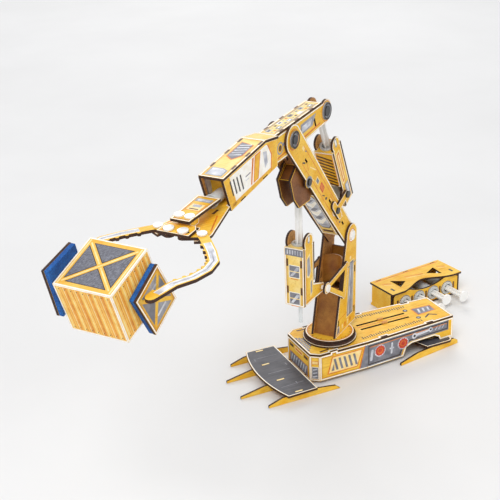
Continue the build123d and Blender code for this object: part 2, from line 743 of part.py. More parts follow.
def crate():
    """Closed light box of six panels, pitched with the load."""
    turn, pitch = radians(SLEW), radians(CRATE_PITCH)
    lean = (-sin(pitch), cos(pitch))
    base = (CRATE_AT[0] - lean[0] * CRATE[2] / 2, CRATE_AT[1] - lean[1] * CRATE[2] / 2)
    floor = Plane(origin=(base[0] * cos(turn), base[0] * sin(turn), base[1]),
                  x_dir=(cos(pitch) * cos(turn), cos(pitch) * sin(turn), sin(pitch)),
                  z_dir=(lean[0] * cos(turn), lean[0] * sin(turn), lean[1]))
    rim = [(-CRATE[0] / 2, -CRATE[1] / 2), (CRATE[0] / 2, -CRATE[1] / 2), (CRATE[0] / 2, CRATE[1] / 2),
           (-CRATE[0] / 2, CRATE[1] / 2)]
    inner = inset(rim, CRATE_WALL)
    with BuildPart() as box:
        for i in range(4):
            j = (i + 1) % 4
            with BuildSketch(floor.offset(CRATE_WALL)):
                outline([rim[i], rim[j], inner[j], inner[i]])
            extrude(amount=CRATE[2] - 2 * CRATE_WALL)
        for height in (0.0, CRATE[2] - CRATE_WALL):
            with BuildSketch(floor.offset(height)):
                Rectangle(CRATE[0], CRATE[1])
            extrude(amount=CRATE_WALL)
    save(box, "crate")


# ---- control unit ----
def control_panels():
    """Floor, ends, back and the front face with its four syringe holes."""
    with BuildPart() as panels:
        with BuildSketch(control_plane(0)):
            with Locations((CONTROL_L / 2, -CONTROL_W / 2)):
                Rectangle(CONTROL_L, CONTROL_W - 4)
        extrude(amount=PLY)
        with BuildSketch(control_plane(PLY)):
            for a in (1.25, CONTROL_L - 1.25):
                with Locations((a, -CONTROL_W / 2)):
                    Rectangle(PLY, CONTROL_W - 8)
            with Locations((CONTROL_L / 2, -3.0)):
                Rectangle(CONTROL_L - 12, PLY)
        extrude(amount=CONTROL_H - 2 * PLY)
        face = control_face()
        with BuildSketch(face):
            with BuildLine():
                Polyline((30, 28), (8, 28), (4, 24), (4, 5), (7, PLY), (CONTROL_L - 7, PLY),
                         (CONTROL_L - 4, 5), (CONTROL_L - 4, 24), (CONTROL_L - 8, 28), (86, 28))
                ThreePointArc((86, 28), (62, 22.5), (30, 28))
            make_face()
            for a in PLUNGER_A:
                disc((a, PLUNGER_Z), BARREL_R, mode=Mode.SUBTRACT)
        extrude(amount=-PLY)
    save(panels, "control_panels")


def control_face():
    """Upright front face of the control unit: x along it, y up, normal outwards."""
    level = control_plane(0)
    return Plane(origin=level.origin - level.y_dir * (CONTROL_W - 2.5), x_dir=level.x_dir, z_dir=-level.y_dir)


def plunger_plane(a):
    face = control_face()
    return Plane(origin=face.origin + face.x_dir * a + face.y_dir * PLUNGER_Z, x_dir=face.x_dir,
                 z_dir=face.z_dir)


def control_top():
    with BuildPart() as panel:
        with BuildSketch(control_plane(CONTROL_H - PLY)):
            with BuildLine():
                Polyline((20, -45), (0, -45), (0, 0), (CONTROL_L, 0), (CONTROL_L, -45), (100, -45))
                Spline((100, -45), (58, -31), (20, -45), tangents=((-1, 0.15), (-1, -0.3)))
            make_face()
            for corners in ([(22, -34), (38, -24), (22, -12)], [(90, -34), (74, -22), (92, -14)]):
                Polygon(*corners, align=None, mode=Mode.SUBTRACT)
            for a in (12, 56, 101):
                slit((a, -3.0), 8.0, PLY)
        extrude(amount=PLY)
    save(panel, "control_top")


def control_barrels():
    layers = []
    for a in PLUNGER_A:
        layers += barrel_layers(plunger_plane(a), 33.0, nozzle=2.0, flange_r=8.4)
    node("control_barrels", layers)


def control_plunger(number, a, out):
    """Plunger of one hand syringe, its thumb disc `out` mm in front of the barrel's mouth."""
    mouth = plunger_plane(a)
    node(f"control_plunger_{number}", rod_layers(mouth, CONTROL_PISTON, CONTROL_PISTON - PISTON_T + out)
         + [(mouth.offset(out), 1.6, lambda: Circle(7.0), Mode.ADD)])


# ---- build every node ----
base_top()
base_walls()
base_floor()
front_foot_plate()
front_foot_ribs()
rear_foot_plate()
rear_foot_bars()
swivel_ring()
slew_rack()
slew_plunger()
slew_pinion()
node("slew_barrel", barrel_layers(SLEW_SYRINGE, 39.0, nozzle=12.0, flange_r=7.5))
swivel_disc()

arm_group("tower_sides", both_sides(TOWER_Y, draw_tower_side))
arm_group("tower_panels", [(TOWER_Y, 2 * TOWER_Y, draw_tower_front), (TOWER_Y, 2 * TOWER_Y, draw_tower_back)])
tower_liner()
arm_group("cylinder_brackets", both_sides(TOWER_Y + PLY, draw_cylinder_bracket))
arm_group("turret_pins", pin_layers(SHOULDER, TOWER_Y + PLY, 5.5, 1.8)
          + pin_layers(LIFT_PIVOT, TOWER_Y + 2 * PLY, 4.5, 1.8))

lift_cylinder_shell()
arm_group("lift_cylinder_sides", both_sides(HOUSING_Y, draw_lift_side))
node("lift_barrel", barrel_layers(lift_mouth(), 67.0, nozzle=22.0))
node("lift_plunger", rod_layers(lift_mouth(), 35.0, 86.0) + [(arm_plane(4.0), 8.0, draw_lift_head, Mode.ADD)])

arm_group("boom_sides", both_sides(BOOM_Y, draw_boom_side))
arm_group("boom_panels", [(BOOM_Y, 2 * BOOM_Y, draw_boom_panels)])
arm_group("boom_clevis", both_sides(5.5, draw_boom_clevis) + [(5.5, 11.0, draw_boom_clevis_web)])
arm_group("reach_brackets", both_sides(BOOM_Y + PLY, draw_reach_bracket))
BOOM_FACE = BOOM_Y + PLY
arm_group("boom_pins", pin_layers(ELBOW, BOOM_FACE, 4.6, 2.2) + ring_layers(ELBOW, BOOM_FACE, 8.0, 4.6)
          + pin_layers(LIFT_EYE, BOOM_FACE, 3.6, 2.0) + ring_layers(LIFT_EYE, BOOM_FACE, 6.0, 3.6)
          + stub_layers(REACH_PIVOT, HOUSING_Y, BOOM_FACE + PLY, 3.8)
          + both_sides(BOOM_FACE + PLY, lambda: disc(boom_point(57, 0), 3.6), 1.8))

reach_cylinder_shell()
arm_group("reach_cylinder_sides", both_sides(HOUSING_Y, draw_reach_side))
node("reach_barrel", barrel_layers(reach_mouth(), 72.0, nozzle=12.0))
node("reach_plunger", rod_layers(reach_mouth(), 36.0, 70.0)
     + [(arm_plane(4.0), 8.0, draw_reach_head, Mode.ADD)])

arm_group("forearm_rear_sides", both_sides(BEAM_Y, draw_beam_side))
arm_group("forearm_front_sides", both_sides(BOX_Y, draw_box_side))
arm_group("forearm_top", [(BOX_Y + PLY, 2 * (BOX_Y + PLY), draw_forearm_top_front),
                          (BEAM_Y + PLY, 2 * (BEAM_Y + PLY), draw_forearm_top_rear)])
forearm_floor()
arm_group("forearm_pins", stub_layers(TAIL, BEAM_Y, BEAM_Y + PLY, 5.4)
          + ring_layers(TAIL, BEAM_Y + PLY, 9.2, 5.4))

grip_group("gripper_carrier", [(-5.8, PLY, draw_carrier)])
node("gripper_barrel", barrel_layers(rod_plane(GRIP_MOUTH), 50.0, GRIP_BARREL_R, GRIP_BORE_R, 4.0, 6.6))
claw_pivot_pins()
gripper_yoke()
gripper_plunger()
claw("claw_near", 1)
claw("claw_far", -1)
claw_pin("claw_pin_near", 1)
claw_pin("claw_pin_far", -1)
pad("pad_near", "foam_near", -1, (-379.0, 264.5), 30.0)
pad("pad_far", "foam_far", 1, (-406.0, 281.0), 15.0)
crate()

control_panels()
control_top()
control_barrels()
for index, (position, extension) in enumerate(zip(PLUNGER_A, PLUNGER_OUT)):
    control_plunger(index + 1, position, extension)
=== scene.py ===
"""Looks of the hydraulic arm kit: printed laser-cut boards, moulded plastic, foam pads and a printed crate.

Lengths in the drawing helpers are millimetres; Sheet.at turns them into metres in the frame.
"""

import json
from math import atan2, cos, degrees, hypot, pi, radians, sin, tan

import bmesh
import bpy
from mathutils import Matrix, Vector


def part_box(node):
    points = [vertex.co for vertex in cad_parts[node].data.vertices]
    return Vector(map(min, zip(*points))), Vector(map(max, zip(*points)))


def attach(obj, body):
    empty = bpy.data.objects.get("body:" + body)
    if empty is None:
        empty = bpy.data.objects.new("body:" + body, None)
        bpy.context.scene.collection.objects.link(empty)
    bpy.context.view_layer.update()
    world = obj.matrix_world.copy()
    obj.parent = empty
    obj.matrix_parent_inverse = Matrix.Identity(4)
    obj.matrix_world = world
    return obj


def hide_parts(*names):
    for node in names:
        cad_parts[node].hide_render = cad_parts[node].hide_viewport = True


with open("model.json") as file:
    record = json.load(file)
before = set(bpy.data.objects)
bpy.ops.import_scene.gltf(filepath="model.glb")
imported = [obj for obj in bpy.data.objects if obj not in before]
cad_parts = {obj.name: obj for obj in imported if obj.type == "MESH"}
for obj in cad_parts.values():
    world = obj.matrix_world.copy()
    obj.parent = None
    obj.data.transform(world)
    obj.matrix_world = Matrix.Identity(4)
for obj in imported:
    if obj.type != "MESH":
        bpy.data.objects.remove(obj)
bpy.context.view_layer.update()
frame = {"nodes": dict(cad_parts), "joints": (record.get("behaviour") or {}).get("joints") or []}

MM = 0.001
PLY = 2.5
INK = 0.06                      # thickness of one printed layer
SUNK = 0.02                     # how far prints reach into their board
JOINTS = {joint["name"]: joint for joint in frame["joints"]}
NEAR = Vector(JOINTS["shoulder"]["axis"]).normalized()      # across the arm, towards its near side
UP = Vector((0, 0, 1))
REAR = UP.cross(NEAR).normalized() * -1
if REAR.x < 0:
    REAR = REAR * -1


# ---------------- sheets and shapes
class Sheet:
    """A flat printing surface: origin in metres, u and v along it, n out of it."""

    def __init__(self, origin, u, v, n):
        self.origin, self.u, self.v, self.n = Vector(origin), Vector(u), Vector(v), Vector(n)

    def at(self, p, q, h=0.0):
        return self.origin + (self.u * p + self.v * q + self.n * h) * MM


def arm_xz(name):
    """A joint's place in the arm's plane: (rearwards, up) in millimetres."""
    pos = Vector(JOINTS[name]["pos_m"])
    return pos.dot(REAR) / MM, pos.z / MM


SHOULDER, ELBOW = arm_xz("shoulder"), arm_xz("elbow")
REACH_PIVOT = arm_xz("reach_tilt")
TAIL_MIDDLE = sum(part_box("forearm_pins"), Vector()) / 2
TAIL = TAIL_MIDDLE.dot(REAR) / MM, TAIL_MIDDLE.z / MM
BOOM_LENGTH = hypot(ELBOW[0] - SHOULDER[0], ELBOW[1] - SHOULDER[1])
BOOM_U = ((ELBOW[0] - SHOULDER[0]) / BOOM_LENGTH, (ELBOW[1] - SHOULDER[1]) / BOOM_LENGTH)
REACH_DIR = Vector(JOINTS["reach_stroke"]["axis"]).normalized()
REACH_U = (REACH_DIR.dot(REAR), REACH_DIR.z)


def reach_of(name, direction, centre=None, radius=12.0):
    """How far a node, or its part round a point of the arm's plane, reaches along a direction."""
    points = [vert.co / MM for vert in frame["nodes"][name].data.vertices]
    if centre:
        points = [p for p in points if hypot(p.dot(REAR) - centre[0], p.z - centre[1]) < radius]
    return max(point.dot(direction) for point in points)


def arm_sheet(side, name, centre=None):
    """Upright sheet on a node's outer face beside the arm; side is 1 for near and -1 for far."""
    outward = NEAR * side
    return Sheet(outward * reach_of(name, outward, centre) * MM, REAR, UP, outward)


def beside(start, run, along, across):
    """A point along a line of the arm's plane, and across it to the rear."""
    return start[0] + run[0] * along + run[1] * across, start[1] + run[1] * along - run[0] * across


def boom_point(along, across):
    return beside(SHOULDER, BOOM_U, along, across)


LIFT_EYE = boom_point(139.5, -12.6)         # where the lift cylinder's rod is pinned


def reach_point(down, across):
    """Along the reach cylinder from the forearm's tail, across to its rear."""
    return beside(TAIL, (-REACH_U[0], -REACH_U[1]), down, -across)


def arm_place(x, z):
    """A point of the arm's plane in metres, from its millimetres."""
    return REAR * (x * MM) + UP * (z * MM)


def rect(x, y, w, h, angle=0.0):
    c, s = cos(radians(angle)), sin(radians(angle))
    corners = [(-w / 2, -h / 2), (w / 2, -h / 2), (w / 2, h / 2), (-w / 2, h / 2)]
    return [(x + a * c - b * s, y + a * s + b * c) for a, b in corners]


def circle(x, y, r, steps=32):
    return [(x + r * cos(2 * pi * i / steps), y + r * sin(2 * pi * i / steps)) for i in range(steps)]


def framed(draw, x, y, w, h, edge, border, fill):
    """A box of one ink inside a border of another."""
    draw(rect(x, y, w, h), border)
    draw(rect(x, y, w - 2 * edge, h - 2 * edge), fill, 2)


def pill(x0, y0, x1, y1, width, steps=10):
    """A round-ended bar."""
    heading = atan2(y1 - y0, x1 - x0)
    points = []
    for x, y, start in ((x1, y1, heading - pi / 2), (x0, y0, heading + pi / 2)):
        for i in range(steps + 1):
            a = start + pi * i / steps
            points.append((x + width / 2 * cos(a), y + width / 2 * sin(a)))
    return points


def ribbon(points, width):
    """Band of even width along a line of points."""
    left, right = [], []
    for i, (x, y) in enumerate(points):
        x0, y0 = points[max(i - 1, 0)]
        x1, y1 = points[min(i + 1, len(points) - 1)]
        length = hypot(x1 - x0, y1 - y0)
        nx, ny = -(y1 - y0) / length * width / 2, (x1 - x0) / length * width / 2
        left.append((x + nx, y + ny))
        right.append((x - nx, y - ny))
    return left + right[::-1]


def line(x0, y0, x1, y1, width):
    return ribbon([(x0, y0), (x1, y1)], width)


def shrink(points, share):
    cx, cy = sum(p[0] for p in points) / len(points), sum(p[1] for p in points) / len(points)
    return [(cx + (x - cx) * share, cy + (y - cy) * share) for x, y in points]


# ---------------- materials
def linear(text):
    """A hex colour as linear RGBA."""
    values = [int(text[i:i + 2], 16) / 255 for i in (0, 2, 4)]
    return [v / 12.92 if v <= 0.04045 else ((v + 0.055) / 1.055) ** 2.4 for v in values] + [1.0]


class Shader:
    """A Principled material under construction, with short calls for the nodes used here."""

    def __init__(self, name):
        self.material = bpy.data.materials.new(name)
        self.material.use_nodes = True
        self.tree = self.material.node_tree
        self.bsdf = self.tree.nodes["Principled BSDF"]
        coordinates = self.tree.nodes.new("ShaderNodeTexCoord")
        self.place = coordinates.outputs["Object"]

    def feed(self, socket, value):
        """Gives a socket its value: another node's output, a hex colour or a plain value."""
        if isinstance(value, bpy.types.NodeSocket):
            self.tree.links.new(value, socket)
        else:
            socket.default_value = linear(value) if isinstance(value, str) else value

    def add(self, kind, inputs=None, **settings):
        node = self.tree.nodes.new(kind)
        for key, value in settings.items():
            setattr(node, key, value)
        for socket, value in (inputs or {}).items():
            self.feed(node.inputs[socket], value)
        return node

    def noise(self, scale, stretch=(1, 1, 1), turn=(0, 0, 0), detail=4, roughness=0.55):
        mapping = self.add("ShaderNodeMapping", {"Vector": self.place, "Rotation": turn, "Scale": stretch})
        noise = self.add("ShaderNodeTexNoise", {"Vector": mapping.outputs["Vector"], "Scale": scale,
                                                "Detail": detail, "Roughness": roughness})
        return noise.outputs["Fac"]

    def span(self, value, low, high, to_low=0, to_high=1):
        node = self.add("ShaderNodeMapRange", {"Value": value, "From Min": low, "From Max": high,
                                               "To Min": to_low, "To Max": to_high}, clamp=True)
        return node.outputs["Result"]

    def times(self, a, b):
        return self.add("ShaderNodeMath", {0: a, 1: b}, operation="MULTIPLY").outputs["Value"]

    def mix(self, share, a, b):
        node = self.add("ShaderNodeMix", {"Factor": share, "A": a, "B": b}, data_type="RGBA")
        return node.outputs["Result"]

    def blend(self, base, colour, value, low, high, most=1):
        """Base turned towards a colour, up to this share, where the value goes from low to high."""
        return self.mix(self.span(value, low, high, 0, most), base, colour)

    def bump(self, height, strength, distance):
        node = self.add("ShaderNodeBump", {"Strength": strength, "Distance": distance, "Height": height})
        self.feed(self.bsdf.inputs["Normal"], node.outputs["Normal"])

    def finish(self, colour, rough, others=None):
        for name, value in {"Base Color": colour, "Roughness": rough, **(others or {})}.items():
            self.feed(self.bsdf.inputs[name], value)
        return self.material


ALONG_ARM = (0, 0, -atan2(REAR.y, REAR.x))


def printed_board(name, colour, deep, glow, rough=0.42):
    """Ink over plywood: grain shows through, ink deepens to the outlines and chips along them."""
    s = Shader(name)
    grain = s.noise(1, (45, 620, 620), ALONG_ARM, 5, 0.62)
    mottle = s.noise(55, detail=3)
    shade = s.add("ShaderNodeAttribute", attribute_name="shade").outputs["Fac"]
    base = s.blend(colour, glow, mottle, 0.32, 0.70)
    base = s.blend(base, deep, grain, 0.50, 0.78, 0.45)
    base = s.mix(s.times(s.span(shade, 0, 1), 0.75), base, deep)
    chips = s.times(s.span(s.noise(900, detail=2), 0.66, 0.70), s.span(shade, 0.55, 1))
    base = s.mix(chips, base, "E2C18C")
    s.bump(grain, 0.25, 0.0002)
    return s.finish(base, s.span(grain, 0.3, 0.7, rough, rough + 0.16), {"Specular IOR Level": 0.32})


def cut_edge():
    """Laser-burnt edge: dark soot mottled at a fine scale, with lighter brown patches."""
    s = Shader("burnt_edge")
    soot = s.noise(420, detail=6, roughness=0.7)
    patches = s.noise(60, detail=2)
    base = s.blend("1F1008", "4C2913", soot, 0.35, 0.68)
    base = s.blend(base, "744720", patches, 0.58, 0.78, 0.4)
    s.bump(soot, 0.4, 0.0002)
    return s.finish(base, 0.72)


def bare_board():
    """Unprinted plywood face, warm and grainy."""
    s = Shader("bare_plywood")
    grain = s.noise(1, (38, 520, 520), ALONG_ARM, 6, 0.65)
    knots = s.noise(32, detail=2)
    base = s.blend("D9A35A", "A56B2E", grain, 0.36, 0.68)
    base = s.blend(base, "7E4B1E", knots, 0.60, 0.78, 0.4)
    s.bump(grain, 0.35, 0.0002)
    return s.finish(base, 0.62)


def ink(name, colour, other, rough=0.42, scale=140):
    """A printed patch: two tones of one ink with the board's grain in it."""
    s = Shader(name)
    grain = s.noise(1, (60, 700, 700), ALONG_ARM, 4, 0.6)
    tone = s.noise(scale, detail=3)
    base = s.blend(colour, other, tone, 0.38, 0.64)
    base = s.blend(base, other, grain, 0.58, 0.80, 0.35)
    s.bump(grain, 0.2, 0.0001)
    return s.finish(base, s.span(grain, 0.3, 0.7, rough, rough + 0.14))


def moulded(name, colour, other, rough, coat=0):
    """Injection-moulded plastic with faint flow marks and handling haze."""
    s = Shader(name)
    flow = s.noise(24, detail=3)
    pores = s.noise(1400, detail=2)
    base = s.blend(colour, other, flow, 0.35, 0.7)
    s.bump(pores, 0.12, 0.00008)
    haze = s.span(flow, 0.3, 0.7, rough, rough + 0.12)
    return s.finish(base, haze, {"Coat Weight": coat, "Coat Roughness": 0.12})


def translucent():
    s = Shader("barrel_plastic")
    flow = s.noise(40, detail=3)
    base = s.blend("F2F4F2", "DDE4E4", flow, 0.35, 0.7)
    return s.finish(base, s.span(flow, 0.3, 0.7, 0.14, 0.26), {"Alpha": 0.62, "Specular IOR Level": 0.6})


def foam():
    """Closed-cell foam: fine cells with darker pits."""
    s = Shader("blue_foam")
    cells = s.add("ShaderNodeTexVoronoi", {"Vector": s.place, "Scale": 900}).outputs["Distance"]
    cloud = s.noise(70, detail=3)
    base = s.blend("1B66B4", "0E4A92", cloud, 0.35, 0.68)
    base = s.blend(base, "0A2F66", cells, 0.35, 0.75, 0.55)
    s.bump(cells, 0.5, 0.0004)
    return s.finish(base, 0.85)


def floor_material():
    s = Shader("studio_floor")
    cloud = s.noise(2.5, detail=4)
    base = s.blend("E8E7E5", "E2E1DF", cloud, 0.3, 0.7)
    return s.finish(base, 0.75)


EDGE = cut_edge()
BARE = bare_board()
YELLOW = printed_board("yellow_print", "EDB01A", "A8640E", "F8CC50")
CREAM = printed_board("cream_print", "F3CC5E", "C08424", "FAE29A")
BROWN = printed_board("brown_print", "8A5420", "3A1E0B", "B37A33", 0.36)
DARK_BROWN = printed_board("clevis_print", "6B3D17", "2A1408", "8A5524", 0.4)
CHARCOAL = printed_board("charcoal_print", "4C4B4F", "2E2D31", "5C5B60")
CRATE_WOOD = printed_board("crate_print", "EFB040", "CC7618", "F6C862")
INKS = {name: ink(name + "_ink", *tones) for name, tones in {
    "white": ("FFFDF6", "F6EEDC", 0.36),
    "grey": ("86868C", "6C6C74"),
    "dark": ("2B2420", "3D332C"),
    "silver": ("DADBE0", "A9ABB4", 0.32, 90),
    "steel": ("A6A7AE", "85868E", 0.36),
    "orange": ("E8891C", "CF6C12"),
    "red": ("D8482A", "B93620"),
    "yellow": ("F4BE2A", "E4A41C"),
    "brown": ("6A3E18", "4A280E"),
    "cream": ("FBE3A4", "F6D283"),
    "plank": ("F8CE68", "F0B848"),
    "plank_deep": ("EFAE3E", "DE942A"),
}.items()}
WHITE = moulded("white_plastic", "F4F3EF", "E6E5E0", 0.24, 0.3)
BLACK = moulded("black_plastic", "17171A", "242428", 0.34, 0.15)
RING = moulded("grey_plastic", "9EA2AA", "858992", 0.3, 0.2)
CLEAR = translucent()
FOAM = foam()


# ---------------- boards
CUT, FIELD, OUTLINE, MARGIN, PLAIN = range(5)   # a board's material slots
CUT_WIDTH = 2.9                             # faces up to this wide are cut edges
RIM, LINE_W, SHADE_W = 0.35, 1.15, 3.2      # ring widths inside a board's edge
FULL_RINGS = 12.0                           # a face this wide has rings of full width
GAP_SHARE, TAB_SHARE = 0.44, 0.9            # how much of a gap or a tab the rings may fill
THIN_RING = 0.15                            # a narrower shaded ring is left out
FLAT = 0.9999                               # cosine between the normals of faces in one plane
CORNER = 1.7                                # longest corner step, as a share of a ring's width
SHORT_EDGE, SLOWEST = 2.0, 0.1              # shorter edges, or ones that hardly shrink, set no limit


def groups(items, neighbours):
    """Items that hang together; neighbours gives those next to one, in the group of the first."""
    seen, found = set(), []
    for start in items:
        if start in seen:
            continue
        seen.add(start)
        group, queue = [], [start]
        while queue:
            item = queue.pop()
            group.append(item)
            for other in neighbours(item, start):
                if other not in seen:
                    seen.add(other)
                    queue.append(other)
        found.append(group)
    return found


def planar_regions(bm):
    """Connected groups of faces that lie in one plane."""
    def in_plane(face, first):
        return [g for e in face.edges for g in e.link_faces if g.normal.dot(first.normal) > FLAT]
    return groups(bm.faces, in_plane)


def rim_edges(region):
    inside = set(region)
    return [e for f in region for e in f.edges if sum(g in inside for g in e.link_faces) == 1]


def loops_of(edges):
    """Boundary edges as separate closed loops."""
    inside = set(edges)

    def joined(edge, first):
        return [e for vert in edge.verts for e in vert.link_edges if e in inside]
    return groups(edges, joined)


def span_of(loop):
    points = [v.co for e in loop for v in e.verts]
    return sum(max(p[i] for p in points) - min(p[i] for p in points) for i in range(3))


def key(edge):
    """What an edge is known by before and after an inset: its middle."""
    middle = (edge.verts[0].co + edge.verts[1].co) / 2
    return tuple(round(c, 6) for c in middle)


def gap_between(loops):
    """Smallest distance between any two of a face's boundary loops, in millimetres."""
    least = 1.0
    for i, loop in enumerate(loops):
        verts = {v for e in loop for v in e.verts}
        for other in loops[i + 1:]:
            for edge in other:
                start, run = edge.verts[0].co, edge.verts[1].co - edge.verts[0].co
                for vert in verts:
                    share = min(1.0, max(0.0, (vert.co - start).dot(run) / max(run.length_squared, 1e-12)))
                    least = min(least, (start + run * share - vert.co).length)
    return least / MM


def tab_room(loops, region):
    """Widest inset, in millimetres, that leaves every tab of a face some width."""
    faces, room = set(region), SHADE_W * 4
    for edge in (e for loop in loops for e in loop):
        length, eaten = edge.calc_length() / MM, 0.0
        for vert in edge.verts:
            inside = sum(corner.calc_angle() for corner in vert.link_loops if corner.face in faces)
            eaten += tan((pi - inside) / 2)
        if length > SHORT_EDGE and eaten > SLOWEST:
            room = min(room, length / eaten)
    return room


def ring_widths(loops, region, width, line_width):
    """Widths of the rim, the outline and the shaded ring that fit the face."""
    fit = min(1.0, width / FULL_RINGS)
    rim, line_part, shaded = RIM * fit, line_width * fit, SHADE_W * fit * fit
    room = gap_between(loops) * GAP_SHARE
    if rim + line_part > room:
        share = room / (rim + line_part)
        return [(rim * share, MARGIN), (line_part * share, OUTLINE)]
    shaded = min(shaded, room - rim - line_part, tab_room(loops, region) * TAB_SHARE - rim - line_part)
    return [(rim, MARGIN), (line_part, OUTLINE)] + ([(shaded, FIELD)] if shaded > THIN_RING else [])


def limit_corners(ring, region, thickness):
    """Sharp corners of an inset are drawn back so that no mitre runs away."""
    inner = {v for face in region for v in face.verts}
    for face in ring:
        for edge in face.edges:
            a, b = edge.verts
            if (a in inner) == (b in inner):
                continue
            moved, start = (a, b) if a in inner else (b, a)
            step = moved.co - start.co
            if step.length > CORNER * thickness:
                moved.co = start.co + step.normalized() * thickness * CORNER


def outline_board(bm, region, shade, width, line_width):
    """Rim, outline and shaded ring round a board's face; holes keep the plain print."""
    loops = sorted(loops_of(rim_edges(region)), key=span_of)
    holes = {key(edge) for loop in loops[:-1] for edge in loop}
    plain = set()
    rings = []
    for thickness, slot in ring_widths(loops, region, width, line_width):
        ring = bmesh.ops.inset_region(bm, faces=region, thickness=thickness * MM, use_boundary=True,
                                      use_even_offset=True)["faces"]
        limit_corners(ring, region, thickness * MM)
        fresh = set()
        for face in ring:
            if not rings:
                beside_hole = any(key(edge) in holes for edge in face.edges)
            else:
                beside_hole = any(g in plain for edge in face.edges for g in edge.link_faces)
            if beside_hole:
                fresh.add(face)
            face.material_index = FIELD if beside_hole else slot
        plain = fresh
        rings.append([face for face in ring if face not in fresh])
    if len(rings) == 3:
        line_verts = {v for face in rings[1] for v in face.verts}
        for vert in {v for face in rings[2] for v in face.verts} & line_verts:
            vert[shade] = 1.0


def copy_of(name):
    """The CAD node's solids, cleaned up to be worked on."""
    bm = bmesh.new()
    bm.from_mesh(frame["nodes"][name].data)
    bmesh.ops.remove_doubles(bm, verts=bm.verts, dist=2e-6)
    bmesh.ops.recalc_face_normals(bm, faces=bm.faces)
    return bm


def smooth_out(bm, sharp):
    """Smooth shading, but for edges that turn by more than this angle."""
    for face in bm.faces:
        face.smooth = True
    for edge in bm.edges:
        edge.smooth = len(edge.link_faces) == 2 and edge.calc_face_angle(3.2) < sharp


def new_piece(name, bm, materials):
    """The worked mesh as an object in the scene."""
    mesh = bpy.data.meshes.new(name)
    bm.to_mesh(mesh)
    bm.free()
    for material in materials:
        mesh.materials.append(material)
    piece = bpy.data.objects.new(name, mesh)
    bpy.context.scene.collection.objects.link(piece)
    return piece


def board(name, body, field=None, outline="white", both=False, faces=None, line_width=LINE_W):
    """The same boards as the CAD node, with burnt edges and an outlined print on their faces.

    Only faces that look away from the node's middle are printed, unless both is true."""
    bm = copy_of(name)
    shade = bm.verts.layers.float.new("shade")
    middle = sum(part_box(name), Vector()) / 2
    for region in planar_regions(bm):
        area = sum(f.calc_area() for f in region)
        around = sum(e.calc_length() for e in rim_edges(region))
        width = 2 * area / max(around, 1e-9) / MM
        if width < CUT_WIDTH:
            for face in region:
                face.material_index = CUT
            continue
        normal = region[0].normal.copy()
        centre = sum((f.calc_center_median() * f.calc_area() for f in region), Vector()) / area
        printed = both or (centre - middle).dot(normal) > 0
        if faces is not None:
            printed = normal.dot(faces) > 0.5
        for face in region:
            face.material_index = FIELD if printed else PLAIN
        if printed and outline:
            outline_board(bm, region, shade, width, line_width)
    smooth_out(bm, 0.5)
    piece = new_piece(name + "_boards", bm, (EDGE, field or YELLOW, INKS[outline or "white"], YELLOW, BARE))
    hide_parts(name)
    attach(piece, body)


def soft_edged(name, body, choose, width=0.35):
    """The same solids as the CAD node with rounded edges; choose gives each face's material."""
    bm = copy_of(name)
    materials = []
    for face in bm.faces:
        material = choose(face.calc_center_median())
        if material not in materials:
            materials.append(material)
        face.material_index = materials.index(material)
    smooth_out(bm, 0.6)
    piece = new_piece(name + "_moulding", bm, materials)
    bevel = piece.modifiers.new("round", "BEVEL")
    bevel.width = width * MM
    bevel.segments = 2
    bevel.limit_method = "ANGLE"
    bevel.angle_limit = radians(50)
    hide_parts(name)
    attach(piece, body)
    return piece


def paint(name, material):
    """A CAD node that stays, with a better material."""
    for slot in frame["nodes"][name].material_slots:
        slot.material = material


# ---------------- prints
class Prints:
    """Printed patches that ride on one body, gathered into one piece."""

    def __init__(self, body):
        self.body, self.bm, self.inks = body, bmesh.new(), []

    def add(self, sheet, points, colour, layer=1):
        """A closed patch of ink on the sheet; layer 2 lies over layer 1."""
        if colour not in self.inks:
            self.inks.append(colour)
        verts = [self.bm.verts.new(sheet.at(p, q, -SUNK)) for p, q in points]
        face = self.bm.faces.new(verts)
        lifted = bmesh.ops.extrude_face_region(self.bm, geom=[face])["geom"]
        rise = sheet.n * (SUNK + INK * layer) * MM
        bmesh.ops.translate(self.bm, vec=rise, verts=[g for g in lifted if isinstance(g, bmesh.types.BMVert)])
        index = self.inks.index(colour)
        for patch in [face] + [g for g in lifted if isinstance(g, bmesh.types.BMFace)]:
            patch.material_index = index
        for vert in verts:
            for side in vert.link_faces:
                side.material_index = index

    def on(self, sheet):
        """add() for one sheet."""
        return lambda points, colour, layer=1: self.add(sheet, points, colour, layer)

    def ring(self, sheet, x, y, outer, inner, colour, layer=1, steps=32):
        rim, hole = circle(x, y, outer, steps), circle(x, y, inner, steps)
        for i in range(steps):
            j = (i + 1) % steps
            self.add(sheet, [rim[i], rim[j], hole[j], hole[i]], colour, layer)

    def make(self):
        bmesh.ops.remove_doubles(self.bm, verts=self.bm.verts, dist=1e-6)
        bmesh.ops.recalc_face_normals(self.bm, faces=self.bm.faces)
        piece = new_piece(self.body + "_prints", self.bm, [INKS[colour] for colour in self.inks])
        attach(piece, self.body)


